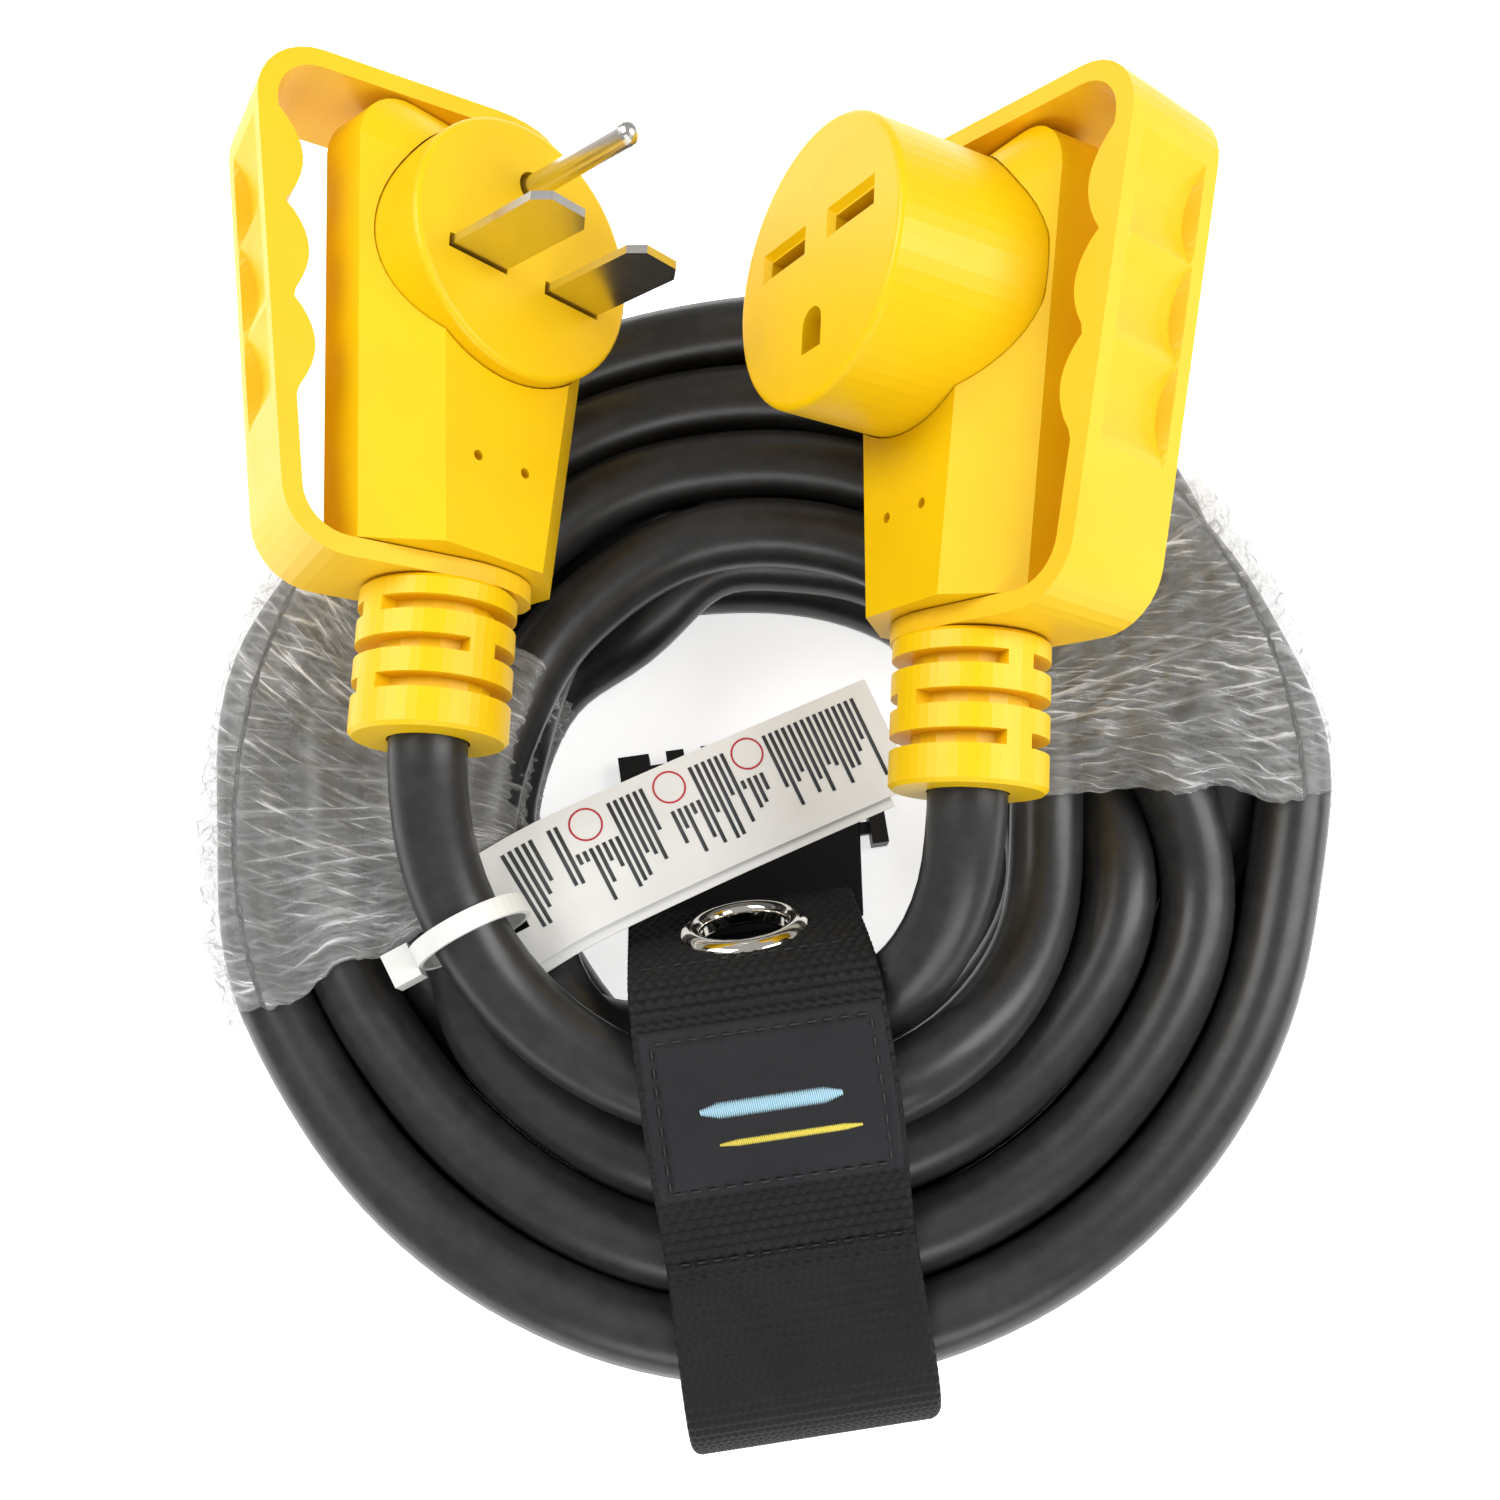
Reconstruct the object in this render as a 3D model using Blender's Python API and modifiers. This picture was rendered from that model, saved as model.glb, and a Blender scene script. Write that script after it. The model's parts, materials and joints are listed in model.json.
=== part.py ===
"""Shore power cord, coiled for storage: a plug and a connector with swivel handles on a round cable.

The cable lies in a flat round coil on the ground. A webbing strap with a grommet ties its front,
clear film is wrapped round both sides, and a folded paper tag hangs on a nylon tie.
Each end is modelled in its own frame: +X out of the contact face, +Z away from the cable.
"""

import math

import bmesh
import bpy
from mathutils import Matrix, Vector

# Driving dimensions, in metres.
GAP = 0.0003

# The footprint's centre, measured from the coil's centre.
FOOTPRINT_X = 0.0
FOOTPRINT_Y = 0.00075

# Cable and coil.
CABLE_RADIUS = 0.008
COIL_INNER_RADIUS = 0.057
COIL_OUTER_RADIUS = 0.124
COIL_HEIGHT = 0.048
COIL_CORNER = 0.008
LEAD_NOTCH_RADIUS = 0.0755
LEAD_NOTCH_FLOOR = 0.0157
LEAD_NOTCH_START = math.radians(-137)
LEAD_NOTCH_END = math.radians(-18)

# Body of the plug and of the connector.
BODY_HALF_DEPTH = 0.0178
BODY_BOTTOM_HALF_WIDTH = 0.0239
BODY_FLARE = 0.092
BODY_TOP = 0.0955
BODY_TOP_CORNER = 0.012
BODY_CHAMFER = 0.0119
FACE_HEIGHT = 0.0655
FACE_SEAT = 0.0066
CAVITY_RADIUS = 0.022
CAVITY_BACK = -0.0110
PASSAGE_RADIUS = 0.0105
PASSAGE_TOP = 0.050
SCREW_HOLE_RADIUS = 0.0011
SCREW_HOLE_DEPTH = 0.0035
SCREW_HOLE_HEIGHT = 0.0196
SCREW_HOLE_SPREAD = 0.0059

# Contact pattern: two line contacts side by side to one side of the face's centre, a ground contact to the
# other. Each pair gives the line and ground heights above the centre, and the connector mirrors the plug.
LINE_OFFSET = 0.0121
PLUG_RISES = (-0.0063, 0.0141)
CONNECTOR_RISES = (0.0063, -0.0141)
BLADE_WIDTH = 0.0132
BLADE_THICKNESS = 0.0018
BLADE_LENGTH = 0.0270
GROUND_PIN_RADIUS = 0.00245
GROUND_PIN_LENGTH = 0.0310
CONTACT_TAIL = -0.0030
SHANK_SHARE = 0.6
CARRIER_BACK = 0.0026
CARRIER_FRONT = 0.0062
LEAF_THICKNESS = 0.0008
LEAF_WIDTH = 0.0103
SLEEVE_SHANK_RADIUS = 0.0018

PLUG_FACE_RADIUS = 0.0275
PLUG_FACE_FRONT = 0.0217
CONNECTOR_FACE_RADIUS = 0.0293
CONNECTOR_FACE_FRONT = 0.0411

# Strain relief.
COLLAR_RADIUS = 0.0159
COLLAR_TOP = -0.0046
COLLAR_BOTTOM = -0.0350
COLLAR_CORE_RADIUS = 0.0118
SPIGOT_RADIUS = 0.0102
SPIGOT_TOP = 0.0080
SLOT_HEIGHTS = (-0.0104, -0.0182, -0.0260)
SLOT_THICKNESS = 0.0030
SLOTS_PER_ROW = 2
SLOT_ARC = math.radians(158)
ROW_TURN = math.radians(90)

# Handle: a band that runs under the body, up one side and over the top.
BAND_THICKNESS = 0.0039
BAND_HALF_WIDTH = 0.0135
GRIP_REACH_BOTTOM = 0.0349
GRIP_REACH_TOP = 0.0495
HANDLE_BOTTOM_CORNER = 0.0140
HANDLE_TOP_CORNER = 0.0120
HANDLE_LUG_LENGTH = 0.0190
GRIP_START = 0.0265
FINGER_PITCH = 0.0190
FINGER_COUNT = 3
FINGER_DEPTH = 0.0042
SCOOP_HALF_WIDTH = 0.0098
PIVOT_RADIUS = 0.0030
PIVOT_DEPTH = 0.0080
PIVOT_REACH = 0.0026

# Strap.
STRAP_WIDTH = 0.0508
STRAP_THICKNESS = 0.0018
STRAP_DIRECTION = math.radians(-81.7)
STRAP_SIDE_SHIFT = -0.0097
GROMMET_RADIUS = 0.0123
GROMMET_HOLE_RADIUS = 0.0080
LABEL_LENGTH = 0.0262
LABEL_THICKNESS = 0.0009

# Film.
FILM_THICKNESS = 0.0006
FILM_LIFT = 0.0006
FILM_RANGES = {"film_wrap_left": (150, 203), "film_wrap_right": (0, 38)}

# Tag and tie.
TAG_WIDTH = 0.0270
TAG_THICKNESS = 0.0005
TIE_WIDTH = 0.0042
TIE_THICKNESS = 0.0011
TIE_INNER_RADIUS = 0.0115

# Where the two ends lie: the centre of each body's underside, its face direction and its long axis.
PLUG_PLACE = {"at": (-0.0676, 0.0396, 0.0768), "face": (0.737, -0.029, 0.675), "up": (0.029, 1.0, 0.011)}
CONNECTOR_PLACE = {"at": (0.0405, 0.0292, 0.0786), "face": (-0.865, 0.008, 0.502), "up": (0.05, 0.996, 0.069)}
PLUG_HANDLE_ANGLE = math.radians(-90 - 18)
CONNECTOR_HANDLE_ANGLE = math.radians(90 + 10)

# The leads' routes after they leave the strain reliefs, from the coil's centre.
PLUG_LEAD_ROUTE = (
    (-0.0685, -0.0060, 0.0735),
    (-0.0668, -0.0180, 0.0688),
    (-0.0622, -0.0300, 0.0638),
    (-0.0540, -0.0425, 0.0597),
    (-0.0430, -0.0525, 0.0574),
    (-0.0300, -0.0600, 0.0566),
    (-0.0150, -0.0648, 0.0566),
    (0.0020, -0.0665, 0.0566),
    (0.0190, -0.0640, 0.0562),
    (0.0340, -0.0572, 0.0550),
    (0.0462, -0.0462, 0.0515),
    (0.0550, -0.0350, 0.0455),
)
CONNECTOR_LEAD_ROUTE = (
    (0.0382, -0.0150, 0.0735),
    (0.0368, -0.0245, 0.0685),
    (0.0325, -0.0350, 0.0620),
    (0.0255, -0.0430, 0.0555),
    (0.0150, -0.0480, 0.0490),
    (0.0020, -0.0510, 0.0425),
    (-0.0120, -0.0535, 0.0365),
    (-0.0255, -0.0545, 0.0310),
    (-0.0375, -0.0520, 0.0262),
)
# Both leads end square to the coil's notch walls, at these heights.
LEAD_END_RADIUS = 0.0660
LEAD_STEP = 0.0065
PLUG_LEAD_END_HEIGHT = 0.0400
CONNECTOR_LEAD_END_HEIGHT = 0.0240

# The strap's path across the bundle: distance out from the coil's centre, height, sideways drift.
STRAP_ROUTE = (
    (0.0205, 0.0270, 0.0),
    (0.0285, 0.0420, 0.0),
    (0.0360, 0.0560, 0.0),
    (0.0410, 0.0630, 0.0),
    (0.0480, 0.0665, 0.0),
    (0.0570, 0.0670, 0.0),
    (0.0670, 0.0668, 0.0),
    (0.0760, 0.0630, 0.0),
    (0.0840, 0.0555, 0.0),
    (0.0920, 0.0508, 0.0),
    (0.1020, 0.0500, 0.0),
    (0.1130, 0.0500, 0.0),
    (0.1215, 0.0488, 0.0),
    (0.1275, 0.0435, 0.0),
    (0.1315, 0.0300, 0.0),
    (0.1340, 0.0140, 0.0),
    (0.1335, 0.0045, 0.0),
    (0.1290, 0.0012, 0.0),
    (0.1200, 0.0009, 0.0),
    (0.0840, 0.0009, 0.0),
    (0.0480, 0.0009, 0.0),
    (0.0330, 0.0009, 0.0020),
    (0.0190, 0.0009, 0.0040),
    (0.0060, 0.0010, 0.0060),
    (0.0008, 0.0016, 0.0068),
    (-0.0020, 0.0040, 0.0070),
    (0.0008, 0.0064, 0.0068),
    (0.0060, 0.0066, 0.0060),
    (0.0150, 0.0050, 0.0050),
    (0.0240, 0.0040, 0.0040),
)
GROMMET_STATION = (0.0285, 0.0420)
LABEL_STATION = (0.0700, 0.0668)
BUCKLE_BAR = 0.0030
BUCKLE_LENGTH = 0.0270

TAG_ROUTE = (
    (-0.0652, -0.0312, 0.0514),
    (-0.0600, -0.0285, 0.0514),
    (-0.0450, -0.0190, 0.0498),
    (-0.0200, -0.0060, 0.0445),
    (0.0050, 0.0060, 0.0405),
    (0.0270, 0.0160, 0.0390),
)
TIE_POINT = (-0.0622, -0.0300, 0.0638)
TIE_SAG = 0.0021

COLOURS = {
    "yellow_body": ((0.90, 0.56, 0.005), 0.38, 0.0),
    "yellow_handle": ((0.90, 0.60, 0.030), 0.34, 0.0),
    "nickel": ((0.72, 0.69, 0.62), 0.22, 1.0),
    "brass": ((0.78, 0.57, 0.24), 0.30, 1.0),
    "black_jacket": ((0.012, 0.012, 0.013), 0.38, 0.0),
    "insulation_black": ((0.02, 0.02, 0.02), 0.45, 0.0),
    "insulation_red": ((0.45, 0.03, 0.02), 0.45, 0.0),
    "insulation_green": ((0.02, 0.25, 0.06), 0.45, 0.0),
    "webbing": ((0.014, 0.014, 0.015), 0.85, 0.0),
    "label_satin": ((0.020, 0.020, 0.022), 0.55, 0.0),
    "black_plastic": ((0.015, 0.015, 0.016), 0.40, 0.0),
    "tag_paper": ((0.80, 0.80, 0.79), 0.55, 0.0),
    "carrier_grey": ((0.22, 0.22, 0.23), 0.5, 0.0),
    "white_nylon": ((0.82, 0.82, 0.80), 0.40, 0.0),
    "film": ((0.80, 0.82, 0.84), 0.12, 0.0),
}


def clear_scene():
    for obj in list(bpy.data.objects):
        bpy.data.objects.remove(obj, do_unlink=True)


def make_collection(name):
    collection = bpy.data.collections.new(name)
    bpy.context.scene.collection.children.link(collection)
    return collection


clear_scene()
PARTS = make_collection("shore_power_cord")
CUTTERS = make_collection("cutters")
ROOT = bpy.data.objects.new("cord_origin", None)
PARTS.objects.link(ROOT)
ROOT.location = (-FOOTPRINT_X, -FOOTPRINT_Y, 0)


def material_for(slot, node):
    colour, roughness, metallic = COLOURS[slot]
    material = bpy.data.materials.new(f"{node}_{slot}")
    material.use_nodes = True
    shader = material.node_tree.nodes["Principled BSDF"]
    shader.inputs["Base Color"].default_value = (*colour, 1.0)
    shader.inputs["Roughness"].default_value = roughness
    shader.inputs["Metallic"].default_value = metallic
    material.diffuse_color = (*colour, 1.0)
    return material


def place(obj, parent, matrix=None):
    obj.parent = parent
    if matrix is not None:
        obj.matrix_local = matrix
    return obj


def add_part(name, data, slot, parent=ROOT, matrix=None):
    obj = bpy.data.objects.new(name, data)
    PARTS.objects.link(obj)
    data.materials.append(material_for(slot, name))
    return place(obj, parent, matrix)


def add_cutter(name, data, parent=ROOT, matrix=None):
    obj = bpy.data.objects.new(name, data)
    CUTTERS.objects.link(obj)
    obj.hide_render = True
    obj.display_type = "WIRE"
    return place(obj, parent, matrix)


def cut(obj, cutter):
    modifier = obj.modifiers.new(f"cut_{cutter.name}", "BOOLEAN")
    modifier.operation = "DIFFERENCE"
    modifier.object = cutter
    modifier.solver = "EXACT"


def smooth(mesh, angle=math.radians(35)):
    mesh.shade_smooth()
    mesh.set_sharp_from_angle(angle=angle)
    return mesh


def mesh_from_bmesh(name, shape):
    bmesh.ops.recalc_face_normals(shape, faces=shape.faces)
    mesh = bpy.data.meshes.new(name)
    shape.to_mesh(mesh)
    shape.free()
    return smooth(mesh)


def loft(name, rings, closed_path=False):
    """A skin over rings of equal length, capped at both ends unless the rings go full circle."""
    shape = bmesh.new()
    rows = [[shape.verts.new(point) for point in ring] for ring in rings]
    pairs = list(zip(rows, rows[1:]))
    if closed_path:
        pairs.append((rows[-1], rows[0]))
    for low, high in pairs:
        for k in range(len(low)):
            after = (k + 1) % len(low)
            shape.faces.new((low[k], low[after], high[after], high[k]))
    if not closed_path:
        shape.faces.new(rows[0])
        shape.faces.new(rows[-1])
    return mesh_from_bmesh(name, shape)


def cylinder(name, radius, low, high, axis="Z", centre=(0, 0, 0), segments=48):
    """A round bar between two places along one axis, through a centre point."""
    shape = bmesh.new()
    bmesh.ops.create_cone(
        shape, cap_ends=True, segments=segments, radius1=radius, radius2=radius, depth=high - low
    )
    turn = {"X": Matrix.Rotation(math.pi / 2, 4, "Y"), "Z": Matrix.Identity(4)}[axis]
    middle = {"X": Vector(((low + high) / 2, 0, 0)), "Z": Vector((0, 0, (low + high) / 2))}[axis]
    half_step = Matrix.Rotation(math.pi / segments, 4, "Z")
    shape.transform(Matrix.Translation(Vector(centre) + middle) @ turn @ half_step)
    return mesh_from_bmesh(name, shape)


def box(name, low, high):
    shape = bmesh.new()
    bmesh.ops.create_cube(shape, size=1)
    low, high = Vector(low), Vector(high)
    scale = Matrix.Diagonal((*(high - low), 1))
    shape.transform(Matrix.Translation((low + high) / 2) @ scale)
    return mesh_from_bmesh(name, shape)


def turned_profile(name, profile, closed):
    mesh = bpy.data.meshes.new(name)
    count = len(profile)
    edges = [(k, k + 1) for k in range(count - 1)]
    if closed:
        edges.append((count - 1, 0))
    mesh.from_pydata([(radius, 0, height) for radius, height in profile], edges, [])
    return mesh


def turn(obj, steps=48):
    screw = obj.modifiers.new("turn", "SCREW")
    screw.steps = steps
    screw.render_steps = steps
    screw.angle = 2 * math.pi
    screw.axis = "Z"
    screw.use_merge_vertices = True
    screw.merge_threshold = 0.00001
    screw.use_smooth_shade = True
    return obj


def add_turned(name, profile, slot, parent=ROOT, matrix=None, closed=False, steps=48):
    obj = add_part(name, turned_profile(name, profile, closed), slot, parent, matrix)
    return turn(obj, steps)


def flat_outline(name, outline, thickness):
    """A 2D curve outline in the XY plane, extruded to a thickness about that plane."""
    curve = bpy.data.curves.new(name, "CURVE")
    curve.dimensions = "2D"
    curve.fill_mode = "BOTH"
    curve.extrude = thickness / 2
    spline = curve.splines.new("POLY")
    spline.points.add(len(outline) - 1)
    for point, (x, y) in zip(spline.points, outline):
        point.co = (x, y, 0, 1)
    spline.use_cyclic_u = True
    return curve


def catmull_rom(points, pieces, before=None, after=None):
    """Points on a smooth curve through the given ones, aimed by a point beyond either end."""
    points = [Vector(point) for point in points]
    first = before or points[0] * 2 - points[1]
    last = after or points[-1] * 2 - points[-2]
    padded = [first, *points, last]
    found = []
    for k in range(1, len(padded) - 2):
        p0, p1, p2, p3 = padded[k - 1 : k + 3]
        for step in range(pieces):
            t = step / pieces
            found.append(
                0.5
                * (
                    2 * p1
                    + (p2 - p0) * t
                    + (2 * p0 - 5 * p1 + 4 * p2 - p3) * t * t
                    + (3 * p1 - p0 - 3 * p2 + p3) * t * t * t
                )
            )
    found.append(points[-1])
    return found


def resample(points, spacing):
    """Evenly spaced points along a polyline, keeping both ends."""
    lengths = [0.0]
    for before, after in zip(points, points[1:]):
        lengths.append(lengths[-1] + (after - before).length)
    count = max(2, round(lengths[-1] / spacing))
    found = []
    k = 0
    for step in range(count + 1):
        target = lengths[-1] * step / count
        while k < len(lengths) - 2 and lengths[k + 1] < target:
            k += 1
        share = (target - lengths[k]) / max(lengths[k + 1] - lengths[k], 1e-9)
        found.append(points[k].lerp(points[k + 1], min(max(share, 0.0), 1.0)))
    return found


def tube_curve(name, points, radius, resolution=3):
    curve = bpy.data.curves.new(name, "CURVE")
    curve.dimensions = "3D"
    curve.bevel_depth = radius
    curve.bevel_resolution = resolution
    curve.use_fill_caps = True
    spline = curve.splines.new("POLY")
    spline.points.add(len(points) - 1)
    for point, where in zip(spline.points, points):
        point.co = (*where, 1)
    return curve


def frame_matrix(x_axis, z_axis, origin=(0, 0, 0)):
    """A frame with its Z along z_axis and its X as near to x_axis as square corners allow."""
    z_axis = Vector(z_axis).normalized()
    x_axis = Vector(x_axis)
    x_axis = (x_axis - z_axis * x_axis.dot(z_axis)).normalized()
    y_axis = z_axis.cross(x_axis)
    matrix = Matrix((x_axis, y_axis, z_axis)).transposed().to_4x4()
    matrix.translation = Vector(origin)
    return matrix


def half_width(height, inset=0.0):
    return BODY_BOTTOM_HALF_WIDTH + BODY_FLARE * height - inset


def body_outline(inset):
    """Half the body's outline, seen from the front, mirrored into a whole one: flared, with round shoulders."""
    top = BODY_TOP - inset
    corner = max(BODY_TOP_CORNER - inset * 0.35, 0.006)
    shoulder_y = half_width(top - corner, inset) - corner
    right = [(half_width(0, inset), 0.0)]
    for k in range(9):
        angle = math.pi / 2 * k / 8
        right.append((shoulder_y + corner * math.cos(angle), top - corner + corner * math.sin(angle)))
    left = [(-y, z) for y, z in reversed(right)]
    return right + left


def add_shell(unit, parent, face_radius):
    rings = []
    for x, inset in (
        (-BODY_HALF_DEPTH, BODY_CHAMFER),
        (-BODY_HALF_DEPTH + BODY_CHAMFER, 0.0),
        (BODY_HALF_DEPTH - BODY_CHAMFER, 0.0),
        (BODY_HALF_DEPTH, BODY_CHAMFER),
    ):
        rings.append([(x, y, z) for y, z in body_outline(inset)])
    shell = add_part(f"{unit}_shell", loft(f"{unit}_shell", rings), "yellow_body", parent)
    face_centre = (0, 0, FACE_HEIGHT)
    cutters = {
        "face_seat": cylinder("face_seat", face_radius + GAP, FACE_SEAT, 0.03, "X", face_centre, 64),
        "cavity": cylinder("cavity", CAVITY_RADIUS, CAVITY_BACK, FACE_SEAT + 0.001, "X", face_centre),
        "passage": cylinder("passage", PASSAGE_RADIUS, -0.001, PASSAGE_TOP),
        "pivot_seat": cylinder(
            "pivot_seat", PIVOT_RADIUS + GAP, BODY_TOP - PIVOT_DEPTH, BODY_TOP + 0.001, segments=24
        ),
    }
    for side in (-1, 1):
        at = (0, side * SCREW_HOLE_SPREAD, SCREW_HOLE_HEIGHT)
        low = BODY_HALF_DEPTH - SCREW_HOLE_DEPTH
        hole = cylinder("screw_hole", SCREW_HOLE_RADIUS, low, BODY_HALF_DEPTH + 0.001, "X", at, 16)
        cutters[f"screw_hole_{side}"] = hole
    for name, data in cutters.items():
        cut(shell, add_cutter(f"{unit}_{name}", data, parent))
    return shell


def add_strain_relief(unit, parent):
    bore = CABLE_RADIUS + GAP
    edge = 0.0008
    profile = [
        (bore, SPIGOT_TOP),
        (SPIGOT_RADIUS, SPIGOT_TOP),
        (SPIGOT_RADIUS, COLLAR_TOP),
        (COLLAR_RADIUS - edge, COLLAR_TOP),
        (COLLAR_RADIUS, COLLAR_TOP - edge),
        (COLLAR_RADIUS, COLLAR_BOTTOM + edge),
        (COLLAR_RADIUS - edge, COLLAR_BOTTOM),
        (bore, COLLAR_BOTTOM),
    ]
    collar = add_turned(f"{unit}_strain_relief", profile, "yellow_body", parent, closed=True)
    shape = bmesh.new()
    for row, height in enumerate(SLOT_HEIGHTS):
        for slot in range(SLOTS_PER_ROW):
            middle = row * ROW_TURN + slot * 2 * math.pi / SLOTS_PER_ROW
            add_arc_block(
                shape,
                (COLLAR_CORE_RADIUS, COLLAR_RADIUS + 0.002),
                (height - SLOT_THICKNESS / 2, height + SLOT_THICKNESS / 2),
                (middle - SLOT_ARC / 2, middle + SLOT_ARC / 2),
            )
    cut(collar, add_cutter(f"{unit}_relief_slots", mesh_from_bmesh("relief_slots", shape), parent))
    return collar


def add_arc_block(shape, radii, heights, angles, steps=8):
    """A block that follows an arc about the Z axis, added to a bmesh."""
    rows = []
    for k in range(steps + 1):
        angle = angles[0] + (angles[1] - angles[0]) * k / steps
        corners = [(r, z) for z in heights for r in (radii if z == heights[0] else radii[::-1])]
        rows.append([shape.verts.new((r * math.cos(angle), r * math.sin(angle), z)) for r, z in corners])
    for low, high in zip(rows, rows[1:]):
        for k in range(4):
            shape.faces.new((low[k], low[(k + 1) % 4], high[(k + 1) % 4], high[k]))
    shape.faces.new(rows[0])
    shape.faces.new(rows[-1])


def finger_wave(height):
    """How far the grip bulges towards the fingers at a height, as a share of the finger depth."""
    place_in_grip = (height - GRIP_START) / FINGER_PITCH
    if not 0 < place_in_grip < FINGER_COUNT:
        return 0.0
    return math.sin(math.pi * (place_in_grip % 1.0)) ** 0.8


def grip_reach(height):
    return GRIP_REACH_BOTTOM + (GRIP_REACH_TOP - GRIP_REACH_BOTTOM) * height / BODY_TOP


def handle_stations():
    """The band's outer line as (reach, height, inward normal), from the bottom lug's end to the top lug's."""
    bottom = -GAP - BAND_THICKNESS
    top = BODY_TOP + GAP + BAND_THICKNESS
    stations = []
    for k in range(9):
        angle = math.pi / 2 * k / 8
        stations.append((-HANDLE_LUG_LENGTH * math.cos(angle), bottom, (0, 1)))
    lean = math.atan2(GRIP_REACH_TOP - GRIP_REACH_BOTTOM, BODY_TOP)
    low_centre = (
        grip_reach(bottom + HANDLE_BOTTOM_CORNER) - HANDLE_BOTTOM_CORNER / math.cos(lean),
        bottom + HANDLE_BOTTOM_CORNER,
    )
    high_centre = (
        grip_reach(top - HANDLE_TOP_CORNER) - HANDLE_TOP_CORNER / math.cos(lean),
        top - HANDLE_TOP_CORNER,
    )
    for k in range(9):
        angle = -math.pi / 2 + (math.pi / 2 - lean) * k / 8
        normal = (-math.cos(angle), -math.sin(angle))
        stations.append(
            (
                low_centre[0] - HANDLE_BOTTOM_CORNER * normal[0],
                low_centre[1] - HANDLE_BOTTOM_CORNER * normal[1],
                normal,
            )
        )
    normal = (-math.cos(lean), math.sin(lean))
    low = stations[-1][1]
    high = high_centre[1] - HANDLE_TOP_CORNER * normal[1]
    for k in range(1, 40):
        height = low + (high - low) * k / 40
        stations.append((grip_reach(height), height, normal))
    for k in range(9):
        angle = -lean + (math.pi / 2 + lean) * k / 8
        normal = (-math.cos(angle), -math.sin(angle))
        stations.append(
            (
                high_centre[0] - HANDLE_TOP_CORNER * normal[0],
                high_centre[1] - HANDLE_TOP_CORNER * normal[1],
                normal,
            )
        )
    for k in range(9):
        angle = math.pi / 2 * (8 - k) / 8
        stations.append((-HANDLE_LUG_LENGTH * math.cos(angle), top, (0, -1)))
    return stations


def handle_ring(reach, height, normal):
    """The band's section at one station: plain at the lugs, scooped outside and waved inside at the grip."""
    on_lug = reach < 0
    half = BAND_HALF_WIDTH
    if on_lug:
        half *= math.sqrt(max(1 - (reach / HANDLE_LUG_LENGTH) ** 2, 0.02))
    wave = finger_wave(height) * FINGER_DEPTH
    scoop = min(SCOOP_HALF_WIDTH, half * 0.7)
    outline = (
        (-half, 0),
        (-scoop - 0.0004, 0),
        (-scoop + 0.0004, wave * 0.75),
        (scoop - 0.0004, wave * 0.75),
        (scoop + 0.0004, 0),
        (half, 0),
        (half, BAND_THICKNESS + wave),
        (-half, BAND_THICKNESS + wave),
    )
    return [(reach + normal[0] * depth, across, height + normal[1] * depth) for across, depth in outline]


def add_handle(unit, parent, angle):
    """The handle in a frame whose X is the way it reaches from the body's long axis."""
    swing = bpy.data.objects.new(f"{unit}_handle_swing", None)
    PARTS.objects.link(swing)
    place(swing, parent, Matrix.Rotation(angle, 4, "Z"))
    rings = [handle_ring(*station) for station in handle_stations()]
    handle = add_part(f"{unit}_handle", loft(f"{unit}_handle", rings), "yellow_handle", swing)
    neck = cylinder("neck_hole", SPIGOT_RADIUS + GAP, -0.008, 0.002)
    pin_top = BODY_TOP + GAP + PIVOT_REACH
    pivot = cylinder("pivot_hole", PIVOT_RADIUS + GAP, BODY_TOP - 0.002, pin_top + GAP, segments=24)
    cut(handle, add_cutter(f"{unit}_neck_hole", neck, swing))
    cut(handle, add_cutter(f"{unit}_pivot_hole", pivot, swing))
    profile = [
        (0, pin_top),
        (PIVOT_RADIUS - 0.0004, pin_top),
        (PIVOT_RADIUS, pin_top - 0.0004),
        (PIVOT_RADIUS, BODY_TOP - PIVOT_DEPTH + GAP),
        (0, BODY_TOP - PIVOT_DEPTH + GAP),
    ]
    add_turned(f"{unit}_handle_pivot", profile, "nickel", parent, steps=24)
    return handle


def face_disc(name, radius, front, parent):
    """A face seen as a turned disc whose axis is the unit's X axis, with a rounded front rim."""
    back = FACE_SEAT + GAP
    rim = 0.0014
    profile = [(0, front)]
    for k in range(5):
        angle = math.pi / 2 * (4 - k) / 4
        profile.append((radius - rim + rim * math.cos(angle), front - rim + rim * math.sin(angle)))
    profile += [(radius, back), (0, back)]
    matrix = frame_matrix((0, 0, 1), (1, 0, 0), (0, 0, FACE_HEIGHT))
    return add_turned(name, profile, "yellow_body", parent, matrix, steps=64)


def add_carrier(unit, parent, rises, shank_half_width, shank_half_height, ground_radius):
    """The disc inside the body that holds the contacts' shanks, at the heights of the line and ground contacts."""
    line_rise, ground_rise = rises
    profile = [
        (0, CARRIER_FRONT),
        (CAVITY_RADIUS - GAP, CARRIER_FRONT),
        (CAVITY_RADIUS - GAP, CARRIER_BACK),
        (0, CARRIER_BACK),
    ]
    matrix = frame_matrix((0, 0, 1), (1, 0, 0), (0, 0, FACE_HEIGHT))
    carrier = add_turned(f"{unit}_contact_carrier", profile, "carrier_grey", parent, matrix, steps=40)
    for number, side in ((1, -1), (2, 1)):
        y, z = line_centre(side, line_rise)
        slot = box(
            "shank_slot",
            (CARRIER_BACK - 0.001, y - shank_half_width - GAP, z - shank_half_height - GAP),
            (CARRIER_FRONT + 0.001, y + shank_half_width + GAP, z + shank_half_height + GAP),
        )
        cut(carrier, add_cutter(f"{unit}_shank_slot_{number}", slot, parent))
    at = (0, 0, FACE_HEIGHT + ground_rise)
    hole = cylinder("shank_hole", ground_radius + GAP, 0.0, CARRIER_FRONT + 0.001, "X", at, 24)
    cut(carrier, add_cutter(f"{unit}_shank_hole", hole, parent))


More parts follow.
